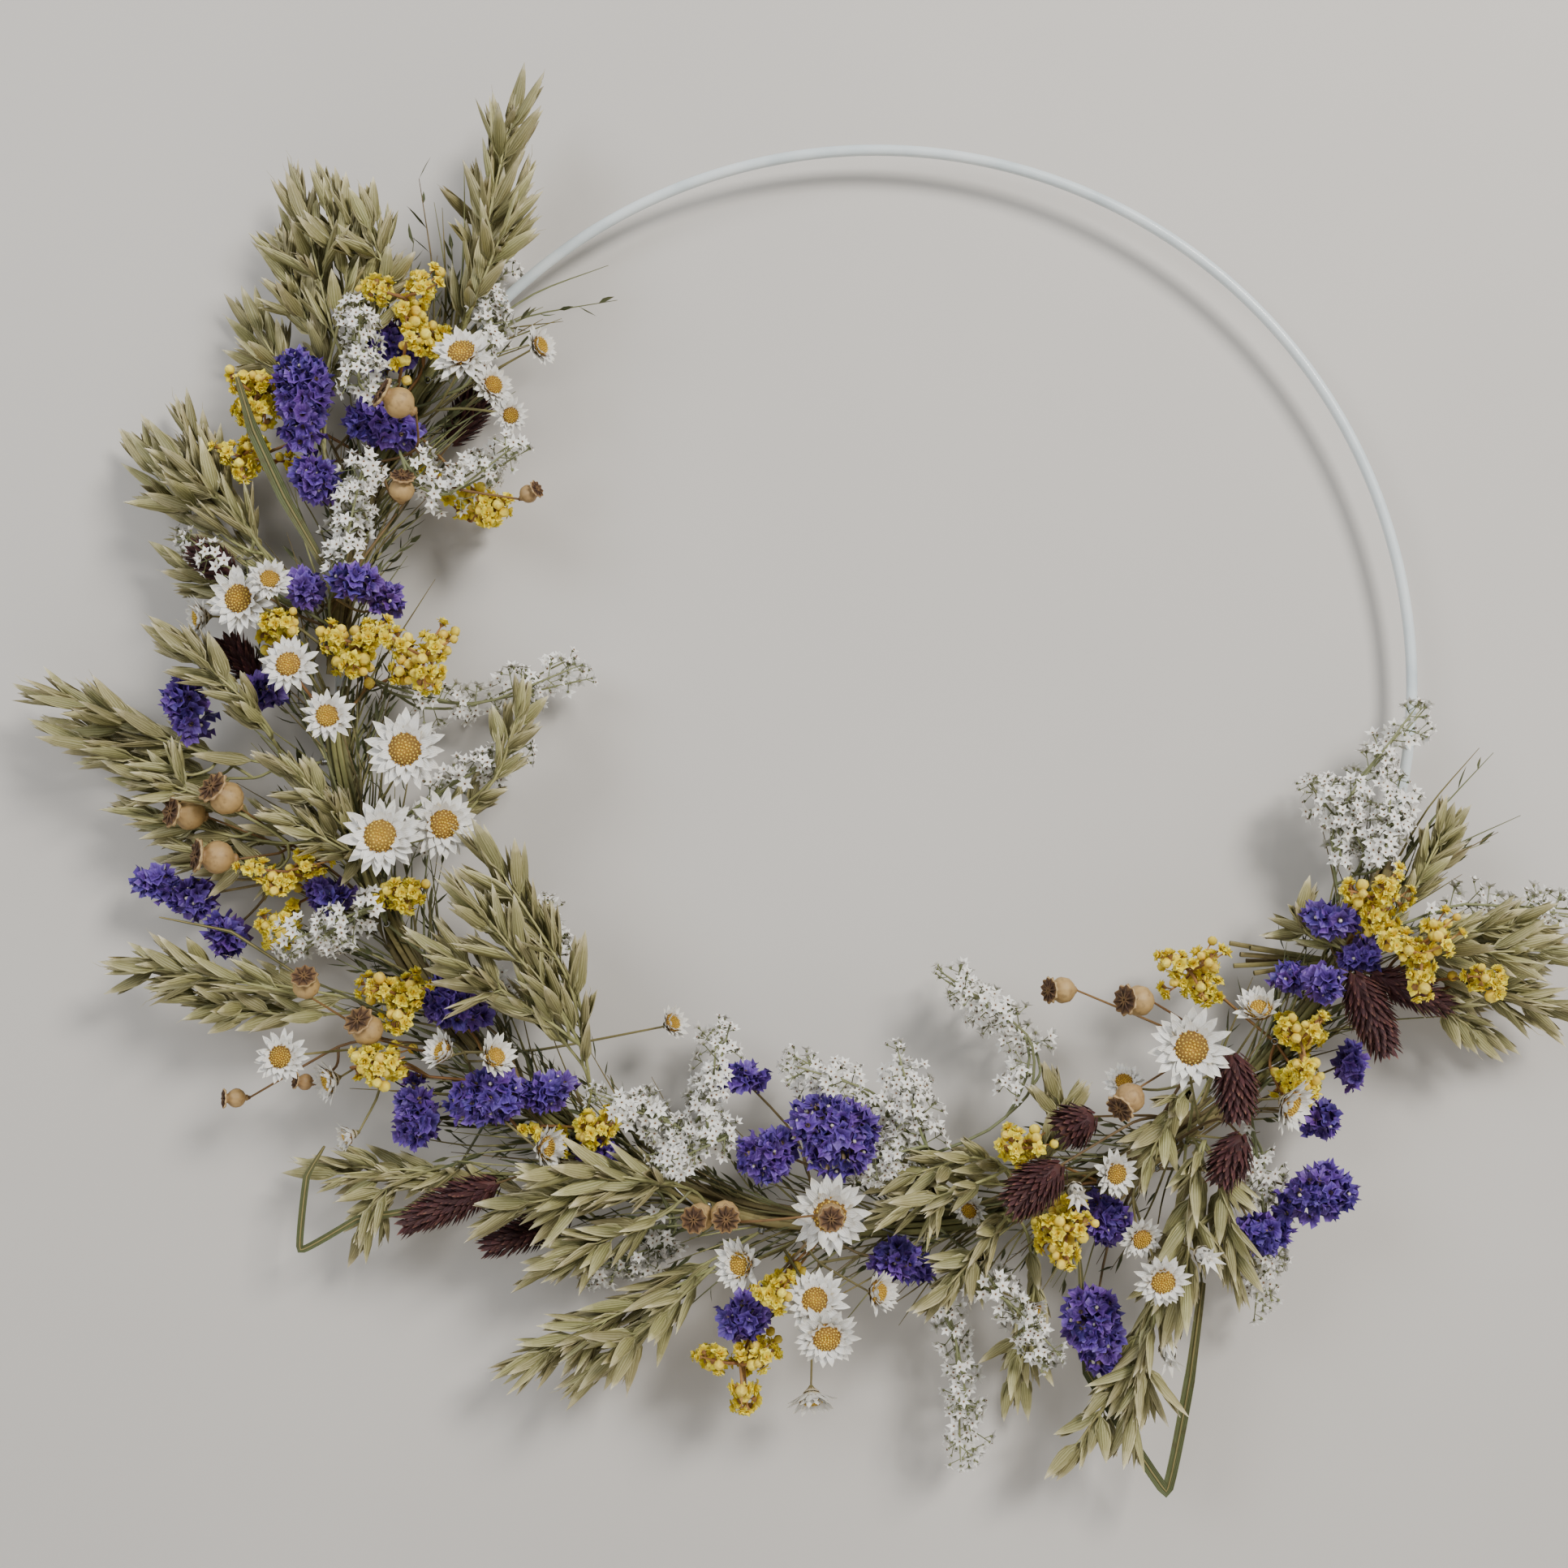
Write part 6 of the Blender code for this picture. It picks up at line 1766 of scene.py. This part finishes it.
def grown_material(
    name, stops, vary=0.15, hue=0.01, stripes=None, edge=None, fleck=None, rough=0.7, bump=0.25, grain=900,
):
    """A plant's surface: a ramp along each piece, a tint for each piece, veins, pale edges and flecks."""
    graph = Graph(name)
    place_at = graph.node("ShaderNodeUVMap", uv_map="places")
    parts = graph.node("ShaderNodeSeparateXYZ", [(0, place_at)])
    across = graph.maths("FRACT", parts.outputs[0])
    own = graph.node(
        "ShaderNodeTexWhiteNoise", [(1, graph.maths("FLOOR", parts.outputs[0]))], noise_dimensions="1D",
    )
    spot = graph.node("ShaderNodeTexCoord").outputs["Object"]
    cloud = graph.node("ShaderNodeTexNoise", [("Vector", spot), ("Scale", 260.0), ("Detail", 3.0)])
    fine = graph.node("ShaderNodeTexNoise", [("Vector", spot), ("Scale", float(grain)), ("Detail", 4.0)])
    along_it = graph.maths(
        "ADD", parts.outputs[1], graph.maths("MULTIPLY", graph.maths("SUBTRACT", cloud, 0.5), 0.35),
    )
    colour = graph.ramp(along_it, stops)
    height = fine.outputs[0]
    if stripes:
        count, depth, shade = stripes
        wave = graph.maths("SINE", graph.maths("MULTIPLY", across, count * math.tau))
        lines = graph.maths("MULTIPLY_ADD", wave, 0.5, 0.5)
        colour = graph.mix(graph.maths("MULTIPLY", lines, depth), colour, tone(shade))
        height = graph.maths("MULTIPLY_ADD", lines, 0.8, graph.maths("MULTIPLY", height, 0.4))
    if edge:
        depth, shade = edge
        rim = graph.maths(
            "POWER", graph.maths("ABSOLUTE", graph.maths("MULTIPLY_ADD", across, 2.0, -1.0)), 3.0,
        )
        colour = graph.mix(graph.maths("MULTIPLY", rim, depth), colour, tone(shade))
    if fleck:
        size, depth, shade = fleck
        spots = graph.node("ShaderNodeTexNoise", [("Vector", spot), ("Scale", float(size)), ("Detail", 2.0)])
        dots = graph.node("ShaderNodeMapRange", [(0, spots), (1, 0.56), (2, 0.7), (3, 0.0), (4, depth)])
        colour = graph.mix(dots, colour, tone(shade))
    bright = graph.maths("MULTIPLY_ADD", own, vary * 2, 1 - vary)
    bright = graph.maths("MULTIPLY", bright, graph.maths("MULTIPLY_ADD", fine, 0.3, 0.85))
    turned_hue = graph.maths("MULTIPLY_ADD", own.outputs[1], hue * 2, 0.5 - hue)
    tinted = graph.node(
        "ShaderNodeHueSaturation", [("Hue", turned_hue), ("Value", bright), ("Color", colour)],
    )
    graph.put(graph.shader.inputs["Base Color"], tinted)
    graph.put(graph.shader.inputs["Roughness"], graph.maths("MULTIPLY_ADD", fine, 0.24, rough - 0.12))
    raised = graph.node("ShaderNodeBump", [("Strength", bump), ("Distance", 0.0004), ("Height", height)])
    graph.put(graph.shader.inputs["Normal"], raised)
    return graph.material


def painted_material():
    """White paint on a drawn metal tube: faint brush marks, a few rubbed spots and a soft gloss."""
    graph = Graph("hoop")
    spot = graph.node("ShaderNodeTexCoord").outputs["Object"]
    cloud = graph.node("ShaderNodeTexNoise", [("Vector", spot), ("Scale", 45.0), ("Detail", 5.0)])
    fine = graph.node("ShaderNodeTexNoise", [("Vector", spot), ("Scale", 1500.0), ("Detail", 3.0)])
    colour = graph.ramp(cloud, [(0.3, (196, 208, 212)), (0.5, (216, 225, 227)), (0.72, (226, 232, 232))])
    rubbed = graph.node("ShaderNodeMapRange", [(0, cloud), (1, 0.66), (2, 0.76), (3, 0.0), (4, 0.35)])
    colour = graph.mix(rubbed, colour, tone((176, 182, 180)))
    graph.put(graph.shader.inputs["Base Color"], colour)
    graph.put(graph.shader.inputs["Roughness"], graph.maths("MULTIPLY_ADD", fine, 0.25, 0.22))
    graph.shader.inputs["Coat Weight"].default_value = 0.15
    raised = graph.node("ShaderNodeBump", [("Strength", 0.12), ("Distance", 0.0002), ("Height", fine)])
    graph.put(graph.shader.inputs["Normal"], raised)
    return graph.material


def wire_material():
    """Drawn wire: bright, with fine scratches along it and dull patches."""
    graph = Graph("wire")
    spot = graph.node("ShaderNodeTexCoord").outputs["Object"]
    dull = graph.node("ShaderNodeTexNoise", [("Vector", spot), ("Scale", 180.0), ("Detail", 4.0)])
    fine = graph.node("ShaderNodeTexNoise", [("Vector", spot), ("Scale", 2600.0), ("Detail", 3.0)])
    colour = graph.ramp(dull, [(0.3, (146, 146, 144)), (0.55, (186, 187, 188)), (0.75, (205, 205, 204))])
    graph.put(graph.shader.inputs["Base Color"], colour)
    graph.shader.inputs["Metallic"].default_value = 1.0
    graph.put(graph.shader.inputs["Roughness"], graph.maths("MULTIPLY_ADD", dull, 0.3, 0.18))
    raised = graph.node("ShaderNodeBump", [("Strength", 0.15), ("Distance", 0.0001), ("Height", fine)])
    graph.put(graph.shader.inputs["Normal"], raised)
    return graph.material


PLANT_LOOKS = {
    "daisy_bract": dict(
        stops=[
            (0.0, (214, 196, 148)), (0.22, (232, 229, 218)), (0.7, (238, 237, 232)), (1.0, (226, 220, 204)),
        ],
        vary=0.06, hue=0.004, stripes=(5, 0.12, (214, 210, 200)), edge=(0.25, (246, 246, 244)), rough=0.5,
        bump=0.3),
    "daisy_back": dict(
        stops=[(0.0, (150, 120, 72)), (0.4, (206, 190, 152)), (1.0, (228, 220, 200))],
        vary=0.12, stripes=(5, 0.2, (190, 172, 132)), rough=0.55, bump=0.3),
    "daisy_disc": dict(
        stops=[(0.0, (160, 116, 20)), (0.5, (206, 166, 42)), (1.0, (238, 206, 96))],
        vary=0.2, hue=0.012, fleck=(1800, 0.4, (128, 84, 20)), rough=0.75, bump=0.5, grain=2600),
    "daisy_rim": dict(
        stops=[(0.0, (92, 66, 22)), (0.6, (146, 108, 36)), (1.0, (196, 150, 62))],
        vary=0.25, hue=0.01, rough=0.8, bump=0.5, grain=2600),
    "daisy_stem": dict(
        stops=[(0.0, (128, 118, 74)), (0.5, (112, 108, 66)), (1.0, (104, 92, 56))],
        vary=0.15, stripes=(3, 0.3, (150, 138, 92)), fleck=(500, 0.4, (84, 66, 40)), rough=0.7),
    "pod": dict(
        stops=[(0.0, (134, 102, 62)), (0.35, (166, 134, 86)), (0.75, (174, 142, 92)), (1.0, (128, 94, 56))],
        vary=0.2, hue=0.008, stripes=(11, 0.16, (150, 118, 72)), fleck=(420, 0.45, (108, 82, 50)),
        rough=0.55, bump=0.25),
    "pod_rim": dict(
        stops=[(0.0, (96, 66, 36)), (0.5, (158, 126, 80)), (1.0, (196, 168, 118))],
        vary=0.15, fleck=(700, 0.4, (90, 62, 36)), rough=0.7, bump=0.4),
    "pod_crown": dict(
        stops=[(0.0, (120, 90, 54)), (0.4, (74, 50, 30)), (1.0, (52, 34, 22))],
        vary=0.2, fleck=(900, 0.5, (134, 104, 66)), rough=0.8, bump=0.5, grain=1800),
    "pod_stem": dict(
        stops=[(0.0, (124, 92, 52)), (0.5, (104, 76, 42)), (1.0, (92, 70, 42))],
        vary=0.15, stripes=(3, 0.25, (140, 110, 68)), fleck=(450, 0.4, (70, 50, 30)), rough=0.65),
    "brush": dict(
        stops=[(0.0, (72, 38, 34)), (0.35, (54, 22, 26)), (0.75, (56, 24, 28)), (1.0, (118, 76, 62))],
        vary=0.35, hue=0.015, stripes=(3, 0.3, (94, 46, 40)), rough=0.7, bump=0.4),
    "brush_stem": dict(
        stops=[(0.0, (112, 88, 52)), (1.0, (96, 78, 50))],
        vary=0.15, stripes=(3, 0.25, (134, 112, 70)), fleck=(500, 0.4, (66, 48, 30)), rough=0.7),
    "statice": dict(
        stops=[(0.0, (150, 130, 166)), (0.25, (88, 54, 132)), (0.7, (88, 54, 144)), (1.0, (114, 84, 172))],
        vary=0.22, hue=0.02, stripes=(15, 0.3, (62, 36, 118)), fleck=(500, 0.4, (124, 100, 186)),
        rough=0.55, bump=0.35),
    "statice_base": dict(
        stops=[(0.0, (104, 92, 58)), (0.5, (142, 124, 84)), (1.0, (164, 142, 108))],
        vary=0.2, hue=0.012, stripes=(6, 0.4, (104, 84, 52)), fleck=(600, 0.35, (86, 66, 40)), rough=0.75),
    "statice_heart": dict(
        stops=[(0.0, (170, 160, 140)), (1.0, (226, 220, 206))], vary=0.15, rough=0.7),
    "oat_stem": dict(
        stops=[(0.0, (168, 160, 104)), (0.5, (140, 140, 88)), (1.0, (122, 122, 74))],
        vary=0.15, stripes=(3, 0.3, (176, 170, 122)), fleck=(420, 0.3, (100, 94, 56)), rough=0.6),
    "oat_husk": dict(
        stops=[
            (0.0, (100, 98, 54)), (0.3, (118, 115, 66)), (0.72, (142, 135, 86)), (0.88, (192, 182, 138)),
            (1.0, (228, 220, 194)),
        ],
        vary=0.2, hue=0.014, stripes=(8, 0.36, (190, 182, 134)), edge=(0.4, (208, 198, 152)), rough=0.5,
        bump=0.45),
    "oat_inner": dict(
        stops=[(0.0, (150, 146, 96)), (0.5, (186, 176, 126)), (1.0, (224, 214, 176))],
        vary=0.15, hue=0.01, stripes=(6, 0.3, (210, 202, 160)), rough=0.55, bump=0.4),
    "yellow": dict(
        stops=[(0.0, (200, 156, 26)), (0.3, (240, 210, 40)), (0.8, (251, 234, 70)), (1.0, (253, 242, 120))],
        vary=0.12, hue=0.012, stripes=(6, 0.12, (228, 192, 40)), fleck=(700, 0.2, (222, 180, 40)),
        rough=0.65, bump=0.35),
    "yellow_bud": dict(
        stops=[(0.0, (176, 136, 46)), (0.4, (232, 200, 54)), (1.0, (248, 228, 96))],
        vary=0.15, hue=0.012, stripes=(5, 0.3, (176, 122, 34)), rough=0.7, bump=0.4),
    "yellow_twig": dict(
        stops=[(0.0, (166, 120, 62)), (0.5, (142, 98, 50)), (1.0, (120, 92, 52))],
        vary=0.18, stripes=(3, 0.25, (182, 140, 84)), fleck=(500, 0.4, (98, 66, 36)), rough=0.7),
    "star": dict(
        stops=[(0.0, (206, 198, 178)), (0.3, (238, 236, 228)), (1.0, (246, 245, 241))],
        vary=0.06, hue=0.006, stripes=(3, 0.12, (206, 200, 184)), rough=0.55, bump=0.3),
    "star_eye": dict(
        stops=[(0.0, (118, 88, 58)), (0.6, (96, 66, 44)), (1.0, (150, 120, 84))],
        vary=0.25, fleck=(2000, 0.4, (150, 120, 80)), rough=0.8, bump=0.5, grain=2600),
    "star_twig": dict(
        stops=[(0.0, (136, 138, 96)), (0.5, (116, 122, 82)), (1.0, (104, 108, 70))],
        vary=0.18, stripes=(3, 0.25, (152, 152, 112)), fleck=(500, 0.3, (84, 82, 50)), rough=0.7),
    "bound": dict(
        stops=[(0.0, (116, 112, 64)), (0.35, (96, 98, 54)), (0.7, (124, 110, 66)), (1.0, (104, 92, 54))],
        vary=0.3, hue=0.02, stripes=(3, 0.35, (150, 138, 92)), fleck=(300, 0.45, (70, 58, 34)), rough=0.7,
        bump=0.5),
    "leaf": dict(
        stops=[(0.0, (92, 88, 54)), (0.3, (72, 80, 46)), (0.75, (80, 86, 50)), (1.0, (104, 96, 60))],
        vary=0.12, hue=0.01, stripes=(7, 0.25, (116, 116, 74)), fleck=(260, 0.5, (76, 64, 38)), rough=0.65,
        bump=0.5),
    "leaf_rib": dict(
        stops=[(0.0, (136, 124, 78)), (1.0, (120, 110, 68))], vary=0.1, fleck=(400, 0.3, (90, 74, 46)),
        rough=0.65),
}


def materials():
    made = {name: grown_material(name, **look) for name, look in PLANT_LOOKS.items()}
    made["hoop"], made["wire"] = painted_material(), wire_material()
    return made


# The wall, floor, lights and camera


ROOM_WIDTH = 6.0

# Lamps: name, place, width in metres, power in watts and colour. Both look at the middle of the wreath
LAMPS = (
    ("key", (0.75, -1.3, 0.55), 0.5, 29, (1.0, 0.97, 0.93)),
    ("fill", (-1.1, -1.3, 0.5), 0.9, 14, (0.93, 0.96, 1.0)),
)
LAMPS_AIM = (-0.03, -0.02, -0.23)
SKY_COLOUR = (0.92, 0.95, 1.0, 1)
SKY_STRENGTH = 0.38


def see_through(name, colour):
    """A plain matt surface that shows from its front only."""
    graph = Graph(name)
    spot = graph.node("ShaderNodeTexCoord").outputs["Object"]
    cloud = graph.node("ShaderNodeTexNoise", [("Vector", spot), ("Scale", 3.0), ("Detail", 4.0)])
    low = tuple(c * 0.975 for c in colour)
    graph.put(graph.shader.inputs["Base Color"], graph.ramp(cloud, [(0.35, low), (0.65, colour)]))
    graph.shader.inputs["Roughness"].default_value = 0.95
    graph.shader.inputs["Specular IOR Level"].default_value = 0.1
    clear = graph.node("ShaderNodeBsdfTransparent")
    back = graph.node("ShaderNodeNewGeometry").outputs["Backfacing"]
    either = graph.node("ShaderNodeMixShader", [(0, back), (1, graph.shader), (2, clear)])
    graph.put(graph.nodes["Material Output"].inputs["Surface"], either)
    return graph.material


def plane(name, middle, turn, size, material):
    mesh = bpy.data.meshes.new(name)
    half = size / 2
    corners = [(-half, -half, 0), (half, -half, 0), (half, half, 0), (-half, half, 0)]
    mesh.from_pydata(corners, [], [(0, 1, 2, 3)])
    mesh.materials.append(material)
    obj = bpy.data.objects.new(name, mesh)
    obj.location, obj.rotation_euler = middle, turn
    bpy.context.scene.collection.objects.link(obj)


def lamp(name, at, aim, size, power, colour):
    light = bpy.data.lights.new(name, "AREA")
    light.shape, light.size, light.energy, light.color = "DISK", size, power, colour
    obj = bpy.data.objects.new(name, light)
    obj.location = at
    obj.rotation_euler = (Vector(aim) - Vector(at)).to_track_quat("-Z", "Y").to_euler()
    bpy.context.scene.collection.objects.link(obj)


def stage_it():
    """The wall behind, the floor far below, two lamps, the world's soft light and the camera."""
    wall = see_through("wall", (206, 202, 196))
    plane("wall", (0, WALL, -0.2), (math.radians(90), 0, 0), ROOM_WIDTH, wall)
    plane("floor", (0, -1.5, FLOOR), (0, 0, 0), ROOM_WIDTH, see_through("floor", (214, 210, 204)))
    for name, at, size, watts, colour in LAMPS:
        lamp(name, at, LAMPS_AIM, size, watts, colour)
    world = bpy.data.worlds.new("world")
    world.use_nodes = True
    sky = world.node_tree.nodes["Background"]
    sky.inputs["Color"].default_value = SKY_COLOUR
    sky.inputs["Strength"].default_value = SKY_STRENGTH
    bpy.context.scene.world = world
    camera = bpy.data.cameras.new("camera")
    half = PICTURE_MIDDLE[0] * PICTURE_MM / VIEW_DISTANCE
    camera.sensor_width = 36.0
    camera.lens = camera.sensor_width / 2 / half
    camera.clip_start = 0.01
    obj = bpy.data.objects.new("camera", camera)
    obj.location = place(*PICTURE_MIDDLE, VIEW_DISTANCE) * METRES
    obj.rotation_euler = (math.radians(90), 0, 0)
    bpy.context.scene.collection.objects.link(obj)
    bpy.context.scene.camera = obj


# The pieces


def shape_of(work, name, pieces):
    for piece in pieces:
        if isinstance(piece, Hoop):
            fine_hoop(work)
        elif name == "binding_wire":
            fine_wire(work)
        elif isinstance(piece, Tube) and piece.radius > 2:
            fine_run(work, piece.points)
        elif isinstance(piece, Tube):
            tube(work, "bound", piece.points, [piece.radius], 8)
        elif isinstance(piece, Knot):
            fine_knot(work, piece)
        elif isinstance(piece, Blade):
            fine_blade(work, piece)
        elif isinstance(piece, list):
            fine_loose(work, piece)
        else:
            fine_stem(work, piece, name)


def show(name, pieces, finishes, replaces=True):
    """Makes one fine piece and gives its number of triangles."""
    work = Work(name)
    shape_of(work, name, pieces)
    mesh = work.mesh("fine_" + name)
    for look in work.names:
        mesh.materials.append(finishes[look])
    obj = bpy.data.objects.new("fine_" + name, mesh)
    bpy.context.scene.collection.objects.link(obj)
    if replaces:
        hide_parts(name)
    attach(obj, "root")
    return len(mesh.loops) // 2


def main():
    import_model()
    stage_it()
    finishes = materials()
    nodes, grown = lay_out()
    room = grown[0].room
    room.ease = EASE
    for node in grown:
        add_more(node)
    total = sum(show(name, pieces, finishes) for name, pieces in nodes.items())
    for number, (name, _, _) in enumerate(RUNS):
        total += show(name.replace("bound", "loose"), loose_stems(room, number), finishes, False)
    print("triangles", total)
    bpy.context.view_layer.update()


main()
